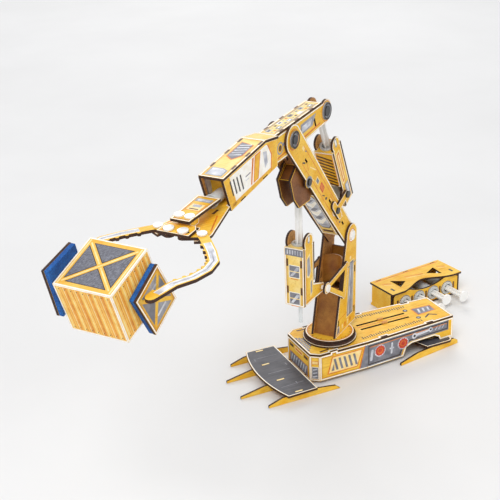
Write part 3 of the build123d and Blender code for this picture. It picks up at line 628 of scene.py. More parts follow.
# ---------------- the boards, body by body
def dress_boards():
    yellow = {
        "turret": ("cylinder_brackets", "tower_sides"),
        "lift_cylinder": ("lift_cylinder_sides",),
        "boom": ("boom_sides", "reach_brackets"),
        "reach_cylinder": ("reach_cylinder_sides",),
        "forearm": ("forearm_rear_sides", "forearm_front_sides"),
    }
    for body, names in yellow.items():
        for name in names:
            board(name, body)
    for name in ("base_front_panels", "base_side_panels"):
        board(name, "base", line_width=1.5)
    board("base_top", "base", faces=UP, line_width=1.5)
    board("swivel_disc", "turret", faces=UP)
    board("swivel_ring", "base", faces=UP)
    board("forearm_top", "forearm", field=CREAM, faces=UP)
    board("base_rear_panel", "base", faces=Vector((1, 0, 0)))
    board("base_floor", "base", outline=None, faces=UP * -1)
    for name in ("front_foot_plate", "rear_foot_plate"):
        board(name, "base", field=CHARCOAL, faces=UP)
    for name in ("front_foot_ribs", "rear_foot_bars"):
        board(name, "base", both=True, outline=None)
    board("lift_cylinder_shell", "lift_cylinder", field=CREAM, both=True)
    board("reach_cylinder_shell", "reach_cylinder", both=True)
    board("boom_panels", "boom", field=CREAM, both=True)
    board("boom_clevis", "boom", field=DARK_BROWN, outline="yellow", both=True, line_width=0.7)
    board("tower_panels", "turret", field=BROWN, outline=None, both=True)
    board("forearm_floor", "forearm", outline=None, both=True)
    board("gripper_carrier", "forearm", both=True)
    board("gripper_yoke", "yoke", both=True)
    for jaw in ("near", "far"):
        board("claw_" + jaw, jaw + "_jaw", both=True, outline=None)
        board("pad_" + jaw, jaw + "_jaw")
    board("control_panels", "base", both=True, outline=None)
    board("control_top", "base", faces=UP, outline=None)
    for name, body in (("slew_rack", "rack"), ("slew_pinion", "turret")):
        paint(name, BARE)
    paint("tower_liner", BROWN)
    paint("crate", CRATE_WOOD)


def dress_plastics():
    for name in ("slew_barrel", "lift_barrel", "reach_barrel", "gripper_barrel", "control_barrels"):
        paint(name, CLEAR)
    for jaw in ("near", "far"):
        soft_edged("foam_" + jaw, jaw + "_jaw", lambda point: FOAM, 0.6)

    def near_a(centres, radius):
        """Black within this radius of a centre, grey outside."""
        def choose(point):
            x, z = point.dot(REAR) / MM, point.z / MM
            return BLACK if min(hypot(x - c[0], z - c[1]) for c in centres) < radius else RING
        return choose

    def white(point):
        return WHITE

    soft_edged("turret_pins", "turret", white, 0.5)
    soft_edged("boom_pins", "boom",
               near_a([ELBOW, REACH_PIVOT, boom_point(57, 0), LIFT_EYE], 4.7), 0.3)
    soft_edged("forearm_pins", "forearm", near_a([TAIL], 5.5), 0.3)
    soft_edged("claw_pivot_pins", "forearm", white, 0.5)
    for jaw in ("near", "far"):
        soft_edged("claw_pin_" + jaw, jaw + "_jaw", white, 0.5)
    for name, body in (("slew_plunger", "rack"), ("lift_plunger", "lift_rod"), ("reach_plunger", "reach_rod"),
                       ("gripper_plunger", "yoke")):
        soft_edged(name, body, white, 0.25)
    for n in range(1, 5):
        soft_edged(f"control_plunger_{n}", f"control_{n}", white, 0.3)


# ---------------- the prints, body by body
BASE_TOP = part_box("base_top")[1].z
BASE_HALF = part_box("base_side_panels")[1].y     # metres from the middle to a side wall
BEND = 30                                       # where the side walls start to taper, behind the slewing axis
WALL_LEAN = radians(3.34)


def base_side_sheets(side):
    """The straight and the tapering part of a side wall; both count x from the slewing axis."""
    out = Vector((0, side, 0))
    straight = Sheet((0, side * BASE_HALF, 0), (1, 0, 0), UP, out)
    along = Vector((cos(WALL_LEAN), -side * sin(WALL_LEAN), 0))
    normal = Vector((sin(WALL_LEAN), side * cos(WALL_LEAN), 0))
    corner = Vector((BEND * MM, side * BASE_HALF, 0))
    taper = Sheet(corner - along * BEND * MM, along, UP, normal)
    return straight, taper


def print_base():
    prints = Prints("base")
    for side in (-1, 1):
        straight, taper = base_side_sheets(side)
        wall, rear_wall = prints.on(straight), prints.on(taper)
        wall([(-22, 9.5), (-16, 31), (24, 31), (17, 9.5)], "orange")
        wall([(-19.8, 10.8), (-15, 29.8), (22.2, 29.8), (16.1, 10.8)], "cream", 2)
        for k in range(5):
            x = -10 + 6.2 * k
            wall([(x - 4, 27.6), (x - 1.2, 27.6), (x + 2.4, 13), (x - 0.4, 13)], "grey", 3)
        wall([(-16.5, 13), (-13.5, 22), (-12.9, 13)], "grey", 3)
        wall([(25.6, 33.4), (29.9, 33.4), (29.9, 5.6), (18.6, 5.6)], "orange")
        wall([(27, 33.4), (30, 33.4), (30, 5.6), (20.4, 5.6)], "grey", 2)
        rear_wall([(30, 5.6), (30, 33.4), (144, 33.4), (144, 20.6), (90, 20.6), (80.6, 16.6), (76.5, 5.6)],
                  "grey")
        rear_wall([(31, 7), (31, 32), (143, 32), (143, 22), (89.4, 22), (79.4, 17.6), (75.2, 7)], "dark", 2)
        rear_wall([(32, 8.4), (32, 30.6), (141.6, 30.6), (141.6, 23.4), (88.8, 23.4), (78.2, 18.6),
                   (73.9, 8.4)], "grey", 3)
        for x in (47, 79):
            rear_wall(circle(x, 21.5, 7.6), "silver", 4)
            valleys, peaks = circle(x, 21.5, 5.9, 24), circle(x, 21.5, 6.9, 24)
            rear_wall([(peaks if i % 2 else valleys)[i] for i in range(24)], "red", 5)
            prints.ring(taper, x, 21.5, 3.8, 2.9, "orange", 6, 24)
        rear_wall(pill(35, 13, 36.5, 24, 3.4), "silver", 4)
        rear_wall(pill(63, 14, 63.6, 26, 2.4), "silver", 4)
        rear_wall(rect(63.3, 20, 6, 2), "silver", 4)
        rear_wall(pill(96, 26.5, 116, 28.5, 3.4), "silver", 4)
        for x, z, r in ((95, 26.4, 3.6), (118, 28.2, 2.9)):
            rear_wall(circle(x, z, r), "silver", 5)
            rear_wall(circle(x, z, r * 0.45), "dark", 6)
        for x in (125, 130, 135):
            rear_wall(pill(x, 26, x + 2.6, 29.6, 1.6), "silver", 4)
        rear_wall(rect(87, 29.6, 108, 0.9), "orange", 4)
    print_base_front(prints)
    print_base_top(prints)
    print_feet(prints)
    print_control(prints)
    prints.make()


def print_base_front(prints):
    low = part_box("base_front_panels")[0]
    for side in (-1, 1):
        run = Vector((9, side * 7, 0)).normalized()
        out = Vector((-abs(run.y), side * run.x, 0))
        draw = prints.on(Sheet((low.x, side * 27 * MM, 0), run, UP, out))
        framed(draw, 5.7, 14, 8, 15.4, 0.6, "white", "grey")
        for y in (9.6, 14, 18.4):
            draw(rect(5.7, y, 5.2, 1.7, 18), "silver", 3)
        framed(draw, 5.7, 27, 7.4, 4.6, 0.6, "orange", "cream")
    draw = prints.on(Sheet((low.x, 0, 0), (0, -1, 0), UP, (-1, 0, 0)))
    framed(draw, 0, 13, 44, 14, 0.8, "orange", "grey")
    for k in range(7):
        x = -17 + 5.6 * k
        draw([(x - 2.6, 8.2), (x - 0.8, 8.2), (x + 2.6, 17.8), (x + 0.8, 17.8)], "silver", 3)
    for y in (-17, 17):
        draw(rect(y, 28, 9, 3.4), "brown")
    draw(rect(0, 28, 18, 5), "cream")
    draw(rect(0, 28, 15.5, 2.6), "orange", 2)


def print_base_top(prints):
    draw = prints.on(Sheet((0, 0, BASE_TOP), (1, 0, 0), (0, 1, 0), UP))
    for row in range(3):
        x = -36.6 + 3 * row
        draw(pill(x, -19 + row * 4, x, 13 - row * 2, 2.2), "grey")
        for k in range(9):
            y = -16.5 + row * 4 + 3.2 * k
            if y < 11 - row * 2:
                draw(rect(x, y, 1.3, 1.1, 30), "silver", 2)
    for side in (-1, 1):
        draw(rect(-22, side * 27.5, 12, 2.4, side * -6), "brown")
        draw(line(34, side * 24.4, 104, side * 20.4, 0.7), "cream")
        for k in range(28):
            x = 20 + 3 * k
            long_mark = 1.5 if k % 4 == 0 else 0
            y = side * (23.6 - (x - 30) * 0.058)
            draw(rect(x + 10, y - side * long_mark / 2, 1.3, 4 + long_mark), "dark")
    draw([(115, -7), (115, 11), (141, 9), (141, -5)], "orange")
    draw([(116.4, -5.4), (116.4, 9.2), (139.4, 7.6), (139.4, -3.8)], "grey", 2)
    for k in range(3):
        draw(rect(121.5 + 6.4 * k, 2, 2.4, 9.5, -18), "silver", 3)
    for x, y in ((107.5, 10), (112, -12)):
        draw(circle(x, y, 3.2, 6), "dark")
        draw(circle(x, y, 1.5), "steel", 2)
    draw([(119, -17), (127, -11.5), (135, -17), (135, -14.4), (127, -9), (119, -14.4)], "dark")
    draw(rect(70.5, 0, 68, 1.2), "orange")


def print_feet(prints):
    tenons = {"front_foot_plate": ((-66, 50, 9), (-73, 19, 9)), "rear_foot_plate": ((126, 20, 10),)}
    for name, places in tenons.items():
        draw = prints.on(Sheet((0, 0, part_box(name)[1].z), (1, 0, 0), (0, 1, 0), UP))
        for x, y, length in places:
            for side in (-1, 1):
                draw(rect(x, side * y, length + 1.6, PLY + 1.4), "dark")
                draw(rect(x, side * y, length, PLY - 0.3), "cream", 2)
        if name == "front_foot_plate":
            for y in (-35, -2, 35):
                draw(line(-80, y, -52, y * 0.96, 0.6), "grey")
            for x, y in ((-52, 9), (-80, 33), (-60, -33)):
                draw(rect(x, y, 5, 1.2, 90), "grey")


def print_control(prints):
    """Top and front of the control unit, measured from its far left corner."""
    axis = Vector(JOINTS["control_1_stroke"]["axis"]).normalized()
    along = UP.cross(axis) * -1
    if along.x < 0:
        along = along * -1
    corner = Vector((119 * MM, 109 * MM, 0))
    on_top = prints.on(Sheet(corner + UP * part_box("control_top")[1].z, along, axis * -1, UP))
    front = Sheet(corner + axis * (42.5 * MM), along, UP, axis)
    on_front = prints.on(front)
    on_top([(4, -3), (109, -3), (109, -5), (4, -5)], "orange")
    for a0, a1 in ((8, 18), (44, 70), (98, 107)):
        on_top(line(a0, -14, a1, -20, 1.6), "orange")
        on_top(line(a0, -18, a1, -24, 0.9), "cream")
    for a in (9, 105):
        on_top(rect(a, -34, 3, 7), "dark")
    for a in (22, 45, 68, 91):
        prints.ring(front, a, 13, 9.4, 8.5, "grey", 1, 28)
    for a in (33.5, 56.5, 79.5, 102.5, 10.5):
        on_front(rect(a, 14, 2.6, 9), "brown")


def print_turret():
    prints = Prints("turret")
    for side in (1, -1):
        sheet = arm_sheet(side, "tower_sides")
        draw = prints.on(sheet)
        draw([(12, 57), (31, 57), (34, 124), (21.5, 124)], "cream")
        draw([(13.6, 58.4), (29.6, 58.4), (32.4, 122.6), (22.4, 122.6)], "grey", 2)
        draw([(15.4, 60), (19.4, 60), (26, 121), (23.8, 121)], "silver", 3)
        draw([(21.6, 60), (24.6, 60), (29.4, 121), (27.8, 121)], "steel", 3)
        draw([(26.2, 60), (28.2, 60), (31.6, 121), (30.6, 121)], "silver", 3)
        draw(line(7.5, 118, 39.4, 119, 1), "grey", 2)
        draw(line(-9, 64, 36, 64, 0.8), "orange")
        draw([(-13.5, 47.5), (-6, 47.5), (-6, 56), (-11, 56)], "silver")
        draw([(-12.4, 48.6), (-7.2, 48.6), (-7.2, 54.8), (-10.6, 54.8)], "grey", 2)
        for k in range(4):
            draw(rect(2 + 7 * k, 52, 3.4, 5.5), "orange" if k % 2 else "cream")
        draw(circle(24, 128, 2.2), "cream")
        prints.ring(sheet, *SHOULDER, 8, 7, "orange")
        prints.ring(sheet, *SHOULDER, 6.9, 5.9, "white")
    print_disc(prints)
    prints.make()


def print_disc(prints):
    sheet = Sheet((0, 0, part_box("swivel_disc")[1].z), REAR, UP.cross(REAR), UP)
    prints.ring(sheet, 0, 0, 25.6, 24.9, "orange", 1, 64)
    for k in range(24):
        a = 2 * pi * k / 24
        prints.add(sheet, rect(23.2 * cos(a), 23.2 * sin(a), 1.8, 0.7, degrees(a)), "brown")


def print_housing(prints, face, height, side_face):
    """Prints of one cylinder housing: a band, slots and windows on its front; panels on its sides."""
    on_face = prints.on(face)
    on_face(rect(0, height - 5, 20.5, 7.6), "grey")
    for k in range(6):
        on_face(rect(-7.6 + 3 * k, height - 5, 1.3, 4.8), "silver", 2)
    for drop in (17, 48):
        for t in (-8, 8):
            on_face(rect(t, height - drop, 2.2, 8.4), "brown")
        y = height - drop - 9.5
        framed(on_face, 0, y, 12.6, 14.4, 0.7, "white", "grey")
        on_face([(-4.8, y - 5.4), (-1.8, y - 5.4), (4.8, y + 3), (4.8, y + 5.4), (2.6, y + 5.4)], "silver", 3)
        on_face(rect(0, y, 11.2, 0.9), "cream", 4)
        on_face(rect(0, y - 8.6, 9, 0.8), "orange")
    for sheet in side_face:
        draw = prints.on(sheet)
        draw(pill(-72, 190, -72, 186, 5), "steel")
        draw(pill(-72, 189.4, -72, 186.6, 3), "white", 2)
        draw([(-78, 168), (-70, 172), (-67, 150), (-72, 144), (-78, 147)], "cream")
        draw([(-76.4, 166.4), (-71.4, 169), (-68.8, 150.6), (-72.6, 146), (-76.4, 148.4)], "steel", 2)
        draw([(-70, 140), (-65, 143), (-65, 124), (-70, 121)], "cream")
        draw([(-69, 137.6), (-66, 139.4), (-66, 126), (-69, 123.4)], "steel", 2)
        draw(line(-80, 118.4, -64, 118.4, 1.2), "orange")
        draw(line(-79.5, 178, -79.5, 122, 0.8), "orange")


def print_lift_cylinder():
    prints = Prints("lift_cylinder")
    face = Sheet(REAR * -reach_of("lift_cylinder_shell", REAR * -1) * MM, NEAR, UP, REAR * -1)
    print_housing(prints, face, 181, [arm_sheet(side, "lift_cylinder_sides") for side in (1, -1)])
    prints.make()


def print_reach_cylinder():
    prints = Prints("reach_cylinder")
    back = REAR * REACH_U[1] - UP * REACH_U[0]
    start = arm_place(*TAIL)
    draw = prints.on(Sheet(start - back * 11 * MM, NEAR, REACH_DIR * -1, back * -1))
    framed(draw, 0, 74, 19.5, 45, 0.6, "orange", "yellow")
    for k in range(9):
        y = 54.5 + 4.6 * k
        draw([(-8.6, y), (-8.6, y + 2.2), (8.6, y + 6.6), (8.6, y + 4.4)], "brown", 3)
    draw = prints.on(Sheet(start + back * 11 * MM, NEAR, REACH_DIR * -1, back))
    draw(rect(0, 58, 20, 7), "grey")
    for k in range(5):
        draw(rect(-7 + 3.5 * k, 58, 1.4, 4.6), "silver", 2)
    for drop in (76, 106):
        framed(draw, 0, drop, 10, 12, 0.9, "cream", "grey")
    for side in (1, -1):
        draw = prints.on(arm_sheet(side, "reach_cylinder_sides"))

        def patch(corners, colour, layer=1):
            draw([reach_point(*corner) for corner in corners], colour, layer)
        draw(pill(*reach_point(41, 0), *reach_point(47, 0), 5), "steel")
        draw(pill(*reach_point(41.6, 0), *reach_point(46.4, 0), 2.8), "white", 2)
        patch([(56, -5.4), (56, 3.4), (96, 3.4), (100, -1), (100, -5.4)], "cream")
        patch([(58, -3.8), (58, 1.8), (95, 1.8), (97.6, -1.6), (97.6, -3.8)], "orange", 2)
        patch([(60, -2.4), (60, 0.2), (94, 0.2), (95, -2.4)], "cream", 3)
        patch([(103, -2), (103, 6), (125, 6), (125, 0), (118, -2)], "steel")
        patch([(105, 0), (105, 4.4), (123, 4.4), (123, 1.4)], "silver", 2)
    prints.make()


BOOM_MARKS = (                  # along, across, length, width, ink; layer and turn where they differ
    (100, -6.9, 132, 0.8, "orange"), (112, 7.6, 128, 0.8, "orange"), (106, 0.4, 11, 7, "red"),
    (106, 0.4, 8.4, 4.6, "orange", 2), (121, -0.4, 9, 6.4, "cream"), (121, -0.4, 6.6, 4.2, "grey", 2),
    (175, 5.4, 5.6, 3.4, "cream"), (168, 6.4, 3, 1.4, "grey", 1, 30), (140, 3, 15, 1.2, "cream", 1, 20),
    (88, -2.6, 4.4, 2.6, "dark", 1, 35), (36, -3, 3.6, 2, "dark", 1, 35),
    (152, -2.4, 9, 0.8, "orange", 1, -18), (163, -4.4, 6.5, 1.6, "dark", 1, 30),
    (75, 4.6, 8.5, 0.8, "orange"), (75, 2.8, 8.5, 0.8, "cream"), (133, -5.2, 10, 1, "cream", 1, 6),
    (96, -3.8, 6, 1.2, "brown", 1, 24), (46, 6.2, 5, 1.4, "brown"), (38, 5, 9, 1.4, "cream"),
)


def print_boom():
    prints = Prints("boom")
    for side in (1, -1):
        sheet = arm_sheet(side, "boom_sides")
        tilt = degrees(atan2(BOOM_U[1], BOOM_U[0]))

        def mark(along, across, w, h, colour, layer=1, turn=0):
            prints.add(sheet, rect(*boom_point(along, across), w, h, tilt + turn), colour, layer)
        for spec in BOOM_MARKS:
            mark(*spec)
        prints.ring(sheet, *boom_point(57, 0), 6.6, 5.4, "white")
        prints.ring(sheet, *LIFT_EYE, 6.2, 4.9, "yellow")
        prints.ring(sheet, *ELBOW, 10.6, 9.4, "orange")
        prints.ring(arm_sheet(side, "boom_pins", ELBOW), *ELBOW, 8.9, 6.7, "dark")
    print_boom_panel(prints)
    prints.make()


def print_boom_panel(prints):
    """Silver window and bars on the boom's front panel, and stripes on the rear one."""
    start = arm_place(*SHOULDER)
    along = REAR * BOOM_U[0] + UP * BOOM_U[1]
    across = REAR * BOOM_U[1] - UP * BOOM_U[0]
    draw = prints.on(Sheet(start - across * 13 * MM, NEAR, along, across * -1))
    window = [(-7.8, 44), (-7.8, 104), (-4, 111), (4, 111), (7.8, 104), (7.8, 44), (4, 37), (-4, 37)]
    draw(window, "dark")
    draw(shrink(window, 0.95), "silver", 2)
    for y in (50, 68, 86):
        draw([(-6.6, y), (-2, y - 5), (6.6, y + 8), (6.6, y + 13), (-0.5, y + 5), (-6.6, y + 6)], "white", 3)
        draw([(-6.2, y + 8), (-1.5, y + 7), (4.6, y + 14), (-1, y + 15)], "grey", 3)
    for y in (45, 104):
        draw(rect(0, y, 7, 2), "steel", 4)
    draw(rect(0, 30, 12, 5), "brown")
    for y in (118, 123):
        draw(rect(0, y, 13, 1.2), "orange")
    draw = prints.on(Sheet(start + across * 12.5 * MM, NEAR, along, across))
    for k in range(7):
        y = 44 + 11 * k
        draw([(-6.5, y), (-6.5, y + 4), (0, y + 8), (6.5, y + 4), (6.5, y), (0, y + 4)], "brown")


def print_forearm():
    prints = Prints("forearm")
    for side in (1, -1):
        on_box = prints.on(arm_sheet(side, "forearm_front_sides"))
        on_box([(-234.6, 307.6), (-161, 317.4), (-143.5, 315), (-146.5, 290.6), (-224.8, 279.2)], "white")
        on_box([(-234.6, 307.6), (-227.6, 308.6), (-216.4, 280.4), (-224.8, 279.2)], "yellow", 2)
        on_box([(-224.8, 279.2), (-223, 282.8), (-147.4, 293.6), (-146.5, 290.6)], "yellow", 2)
        on_box([(-156.5, 316.8), (-143.5, 315), (-146.5, 290.6), (-151, 290), (-149.5, 306)], "yellow", 3)
        on_box([(-157.8, 317), (-156.3, 316.8), (-149.3, 306), (-150.8, 290), (-152.2, 289.8),
                (-150.9, 305.8)], "orange", 4)
        on_box([(-181.5, 314), (-170.5, 315.4), (-176, 290.7), (-185.5, 289.4)], "orange", 3)
        on_box([(-180.4, 313), (-171.8, 314.1), (-177, 291.7), (-184.2, 290.7)], "yellow", 4)
        on_box([(-186.5, 312.8), (-183.5, 313.2), (-188, 289.1), (-190.2, 288.8)], "orange", 3)
        for x in (-224.5, -218.5, -212.5, -206.5):
            on_box(rect(x, 297.5, 1.9, 16, 19), "dark", 3)
        on_box(rect(-195, 300.5, 9, 1, 8), "grey", 3)
        on_box(rect(-196.5, 296.5, 6, 0.8, 8), "silver", 3)
        on_box([(-166, 312.5), (-159.5, 311.5), (-157.5, 300), (-163, 296)], "silver", 3)
        beam = arm_sheet(side, "forearm_rear_sides")
        on_beam = prints.on(beam)
        prints.ring(beam, -126, 303, 6.2, 4.6, "steel")
        on_beam(circle(-126, 303, 3), "brown")
        on_beam(pill(-119, 305, -113, 305.6, 3.2), "steel")
        on_beam(line(-137, 293.8, -112, 296.2, 1.6), "orange")
        on_beam(line(-84, 297.4, -38, 302.4, 1.8), "orange")
        on_beam([(-82, 313), (-48, 315.6), (-56, 305), (-82, 302.4)], "steel")
        on_beam([(-79, 310.6), (-57, 312.2), (-61, 306.6), (-79, 304.6)], "silver", 2)
        prints.ring(beam, *TAIL, 11, 10.2, "orange")
        prints.ring(arm_sheet(side, "forearm_pins", TAIL), *TAIL, 8.9, 7.2, "dark")
    draw = prints.on(Sheet(NEAR * -10 * MM, REAR, UP, NEAR))
    draw([(-233, 306), (-206, 309.5), (-198, 284.5), (-224.6, 281)], "steel")
    draw([(-231, 304.4), (-222, 305.6), (-214, 284), (-223, 282.8)], "silver", 2)
    print_forearm_top(prints)
    print_carrier(prints)
    prints.make()


def print_forearm_top(prints):
    def slope(x0, z0, x1, z1):
        """Sheet on a top panel that runs between two points of the arm's plane."""
        run = hypot(x1 - x0, z1 - z0)
        along = REAR * ((x1 - x0) / run) + UP * ((z1 - z0) / run)
        normal = along.cross(NEAR)
        return Sheet(arm_place(x0, z0), along, NEAR, normal * (-1 if normal.z < 0 else 1))
    draw = prints.on(slope(-238, 311, -160, 322))
    draw([(3.5, -8.5), (3.5, 8.5), (15, 8.5), (18, 3), (18, -8.5)], "steel")
    draw([(5, -7), (5, 7), (14.2, 7), (16.5, 2.6), (16.5, -7)], "silver", 2)
    draw([(40, -7.5), (34, 1), (44, 7.5), (66, 7.5), (70, -7.5)], "orange")
    draw([(41, -6.4), (36, 0.8), (44.8, 6.3), (65, 6.3), (68.6, -6.4)], "grey", 2)
    for k in range(5):
        draw(line(42 + 5 * k, -5.2, 46 + 5 * k, 5.2, 1.5), "silver", 3)
    for x in (22, 48, 72):
        for side in (-1, 1):
            draw(rect(x, side * 10.6, 8, 2.2), "brown", 2)
    draw = prints.on(slope(-135, 318.5, -36, 323))
    draw(rect(50, 5.6, 86, 1), "grey")
    draw(rect(50, -5.6, 86, 1), "grey")
    for k in range(8):
        x, side = 9 + 11.2 * k, 1 if k % 2 else -1
        draw(rect(x, side * 2.4, 7.8, 4.2), ("steel", "grey", "silver")[k % 3])
        draw(rect(x, side * 2.4, 4.6, 1.4), ("dark", "white")[k % 2], 2)
        draw(rect(x + 2.5, side * -2.6, 3.6, 2.6), ("orange", "brown", "grey")[k % 3])
        draw(circle(x - 3.4, side * -2.6, 1.1, 14), "steel")
    for x in (14, 46, 78):
        for side in (-1, 1):
            draw(rect(x, side * 8, 8, 2.2), "brown", 2)


def grip_sheet(height):
    """Sheet parallel to the claws: p forwards, q to the near side."""
    normal = Vector(JOINTS["near_claw_pivot"]["axis"]).normalized()
    forward = Vector(JOINTS["yoke_slide"]["axis"]).normalized()
    pivot = Vector(JOINTS["near_claw_pivot"]["pos_m"])
    middle = pivot - NEAR * pivot.dot(NEAR)
    return Sheet(middle - forward * MM + normal * height * MM, forward, NEAR, normal)


def print_carrier(prints):
    draw = prints.on(grip_sheet(-3.3))
    for side in (-1, 1):
        draw(line(-40, side * 12, -12, side * 22, 1.4), "orange")
        draw(rect(-46, side * 6.5, 9, 2.4), "brown")


def print_yoke():
    prints = Prints("yoke")
    draw = prints.on(grip_sheet(6.6 + PLY))
    framed(draw, -26, 0, 13, 14, 0.7, "orange", "cream")
    draw(rect(-22.5, 0, 1.6, 9), "brown", 3)
    draw(rect(-28.5, 0, 4.4, 8), "steel", 3)
    draw(rect(-40, 0, 6, 16), "steel")
    draw(rect(-40, 0, 3.4, 12), "silver", 2)
    draw = prints.on(grip_sheet(0.4 + PLY))
    for side in (-1, 1):
        draw(line(10.4, side * 2.5, 10.4, side * 13, 1), "orange")
    prints.make()


# the middle of a claw's printed band: forwards and outwards, on grip_sheet
CLAW_LINE = [(12.5, 33.3), (24, 44), (37, 54), (51, 56), (66, 52), (80, 43.5), (98, 39.7)]


def print_jaw(jaw, side):
    prints = Prints(jaw)
    pad = "pad_near" if side == 1 else "pad_far"
    sheet = arm_sheet(side, pad)
    low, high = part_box(pad)
    centre = (low + high) / 2
    cx, cz = centre.dot(REAR) / MM, centre.z / MM
    turn = radians(30 if side == 1 else 15)

    def draw(points, colour, layer=1):
        turned = [(cx + x * cos(turn) - y * sin(turn), cz + x * sin(turn) + y * cos(turn)) for x, y in points]
        prints.add(sheet, turned, colour, layer)
    for sign in (1, -1):
        draw([(-12.5, sign * 17.5), (12.5, sign * 17.5), (0, sign * 3.5)], "steel")
    for sign in (-1, 1):
        draw([(sign * 14.2, 14), (sign * 14.2, -14), (sign * 2.5, 0)], "grey")
    on_claw = prints.on(grip_sheet(0))
    middle_line = [(s, side * t) for s, t in CLAW_LINE]
    on_claw(ribbon(middle_line, 6.4), "white")
    on_claw(ribbon(middle_line, 5), "silver", 2)
    on_claw(ribbon(middle_line[1:-1], 1.2), "steel", 3)
    for y in (11.5, -11.5):
        draw(pill(-6, y, 6, y, 2.2), "silver", 2)
    prints.make()


def print_crate():
    prints = Prints("load")
    low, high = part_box("crate")
    centre = (low + high) / 2
    pitch = radians(19.7)
    along = REAR * cos(pitch) + UP * sin(pitch)
    lift = UP * cos(pitch) - REAR * sin(pitch)
    half_l, half_w, half_h = 26.5, 26.6, 24.5
    for sign in (-1, 1):
        front = Sheet(centre + along * sign * half_l * MM, NEAR, lift, along * sign)
        print_planks(prints, front, half_w, half_h)
    for sign in (1, -1):
        flank = Sheet(centre + NEAR * sign * half_w * MM, along, lift, NEAR * sign)
        print_planks(prints, flank, half_l, half_h)
    for sign in (1, -1):
        lid = Sheet(centre + lift * sign * half_h * MM, along, NEAR, lift * sign)
        print_lid(prints, lid, half_l, half_w)
    prints.make()


def print_border(prints, sheet, half_a, half_b, width, colour):
    """Four mitred bands along a face's edges."""
    outer = [(-half_a, -half_b), (half_a, -half_b), (half_a, half_b), (-half_a, half_b)]
    inner = [(x - width * (1 if x > 0 else -1), y - width * (1 if y > 0 else -1)) for x, y in outer]
    for i in range(4):
        j = (i + 1) % 4
        prints.add(sheet, [outer[i], outer[j], inner[j], inner[i]], colour)


def print_planks(prints, sheet, half, half_h):
    draw = prints.on(sheet)
    count = 9
    pitch = (2 * half - 3) / count
    print_border(prints, sheet, half - 0.15, half_h - 0.15, 1.2, "white")
    for k in range(count):
        x = -half + 1.5 + pitch * (k + 0.5)
        draw(rect(x, 0, pitch - 0.9, 2 * half_h - 3.2), ("plank", "plank_deep")[k % 2])
        draw(rect(x - pitch * 0.18, 0, 0.7, 2 * half_h - 3.8), "cream", 2)
        draw(rect(x + pitch * 0.24, 0, 0.6, 2 * half_h - 5), "orange", 2)
        for y in (-1, 1):
            draw(circle(x, y * (half_h - 4), 0.45, 10), "brown", 3)


def print_lid(prints, sheet, half_l, half_w):
    draw = prints.on(sheet)
    edge, slat = 5, 4.4
    a, b = half_l - edge, half_w - edge
    gap = slat * 0.62                           # how far the panels stay from the corners and the middle
    panels = [[(-a + gap, b), (a - gap, b), (0, gap)], [(-a + gap, -b), (a - gap, -b), (0, -gap)],
              [(-a, b - gap), (-a, -b + gap), (-gap, 0)], [(a, b - gap), (a, -b + gap), (gap, 0)]]
    for points in panels:
        draw(points, "dark")
        draw(shrink(points, 0.93), "lid", 2)
    print_border(prints, sheet, half_l - 0.15, half_w - 0.15, 1.2, "white")
    for side in (-1, 1):
        draw(rect(0, side * (half_w - 2.9), 2 * half_l - 4, 1.4), "cream")
    draw(line(-a, -b, a, b, 1.3), "cream")
    for x, y in ((-1, 1), (1, -1)):
        draw(line(x * 1.6, y * 1.6 * b / a, x * a, y * b, 1.3), "cream")


def lid_ink():
    """Weathered grey boards, streaked along the lid."""
    s = Shader("lid_ink")
    streak = s.noise(1, (80, 1500, 1500), ALONG_ARM, 5, 0.7)
    tone = s.noise(90, detail=3)
    base = s.blend("4A4A52", "8E8F98", streak, 0.36, 0.66)
    base = s.blend(base, "6A6B73", tone, 0.5, 0.75, 0.5)
    s.bump(streak, 0.25, 0.0001)
    return s.finish(base, 0.55)


INKS["lid"] = lid_ink()


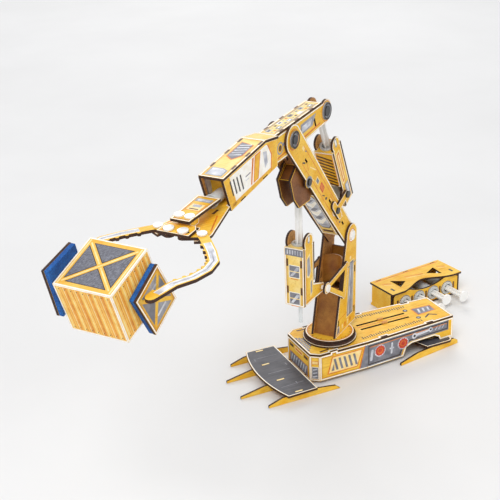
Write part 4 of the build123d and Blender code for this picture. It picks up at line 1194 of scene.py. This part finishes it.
# ---------------- stage
EYE = Vector((-0.5215, -0.9475, 0.631))     # metres; the angles are degrees
AZIMUTH, ELEVATION, ROLL = -26.8, 22.9, -1.3
AIM_RIGHT, AIM_UP = -0.0406, -0.0226
LENS = 77.4


def stage():
    bpy.ops.mesh.primitive_plane_add(size=8.0, location=(0, 0, -0.0002))
    floor = bpy.context.object
    floor.name = "studio_floor"
    floor.data.materials.append(floor_material())
    world = bpy.data.worlds.new("studio")
    bpy.context.scene.world = world
    world.use_nodes = True
    sky = world.node_tree.nodes["Background"].inputs
    sky["Color"].default_value = (0.93, 0.95, 1.0, 1)
    sky["Strength"].default_value = 0.56
    lamps = (("key", (-1.7, -1.7, 2.85), 78.0, 1.8), ("fill", (1.9, -2.3, 1.25), 22.0, 2.8),
             ("back", (1.1, 2.7, 2.25), 40.0, 2.0))
    target = Vector((-0.08, -0.06, 0.15))
    for name, place, power, size in lamps:
        light = bpy.data.lights.new(name, "AREA")
        light.energy, light.size = power, size
        lamp = bpy.data.objects.new(name, light)
        lamp.location = place
        lamp.rotation_euler = (target - Vector(place)).to_track_quat("-Z", "Y").to_euler()
        bpy.context.scene.collection.objects.link(lamp)


def camera():
    """The eye's own place, turned a little so that the whole kit sits in the middle of the frame."""
    a, e, r = radians(AZIMUTH), radians(ELEVATION), radians(ROLL)
    back = Vector((sin(a) * cos(e), -cos(a) * cos(e), sin(e)))
    level = Vector((cos(a), sin(a), 0))
    right = level * cos(r) + back.cross(level) * sin(r)
    up = back.cross(right)
    look_back = (back - right * AIM_RIGHT - up * AIM_UP).normalized()
    right = up.cross(look_back).normalized()
    up = look_back.cross(right)
    data = bpy.data.cameras.new("view")
    data.lens, data.sensor_width = LENS, 36.0
    view = bpy.data.objects.new("view", data)
    view.matrix_world = Matrix((right, up, look_back)).transposed().to_4x4()
    view.location = EYE
    bpy.context.scene.collection.objects.link(view)
    bpy.context.scene.camera = view


dress_boards()
dress_plastics()
print_base()
print_turret()
print_lift_cylinder()
print_reach_cylinder()
print_boom()
print_forearm()
print_yoke()
print_jaw("near_jaw", 1)
print_jaw("far_jaw", -1)
print_crate()
stage()
camera()
bpy.context.scene.view_settings.view_transform = "Standard"
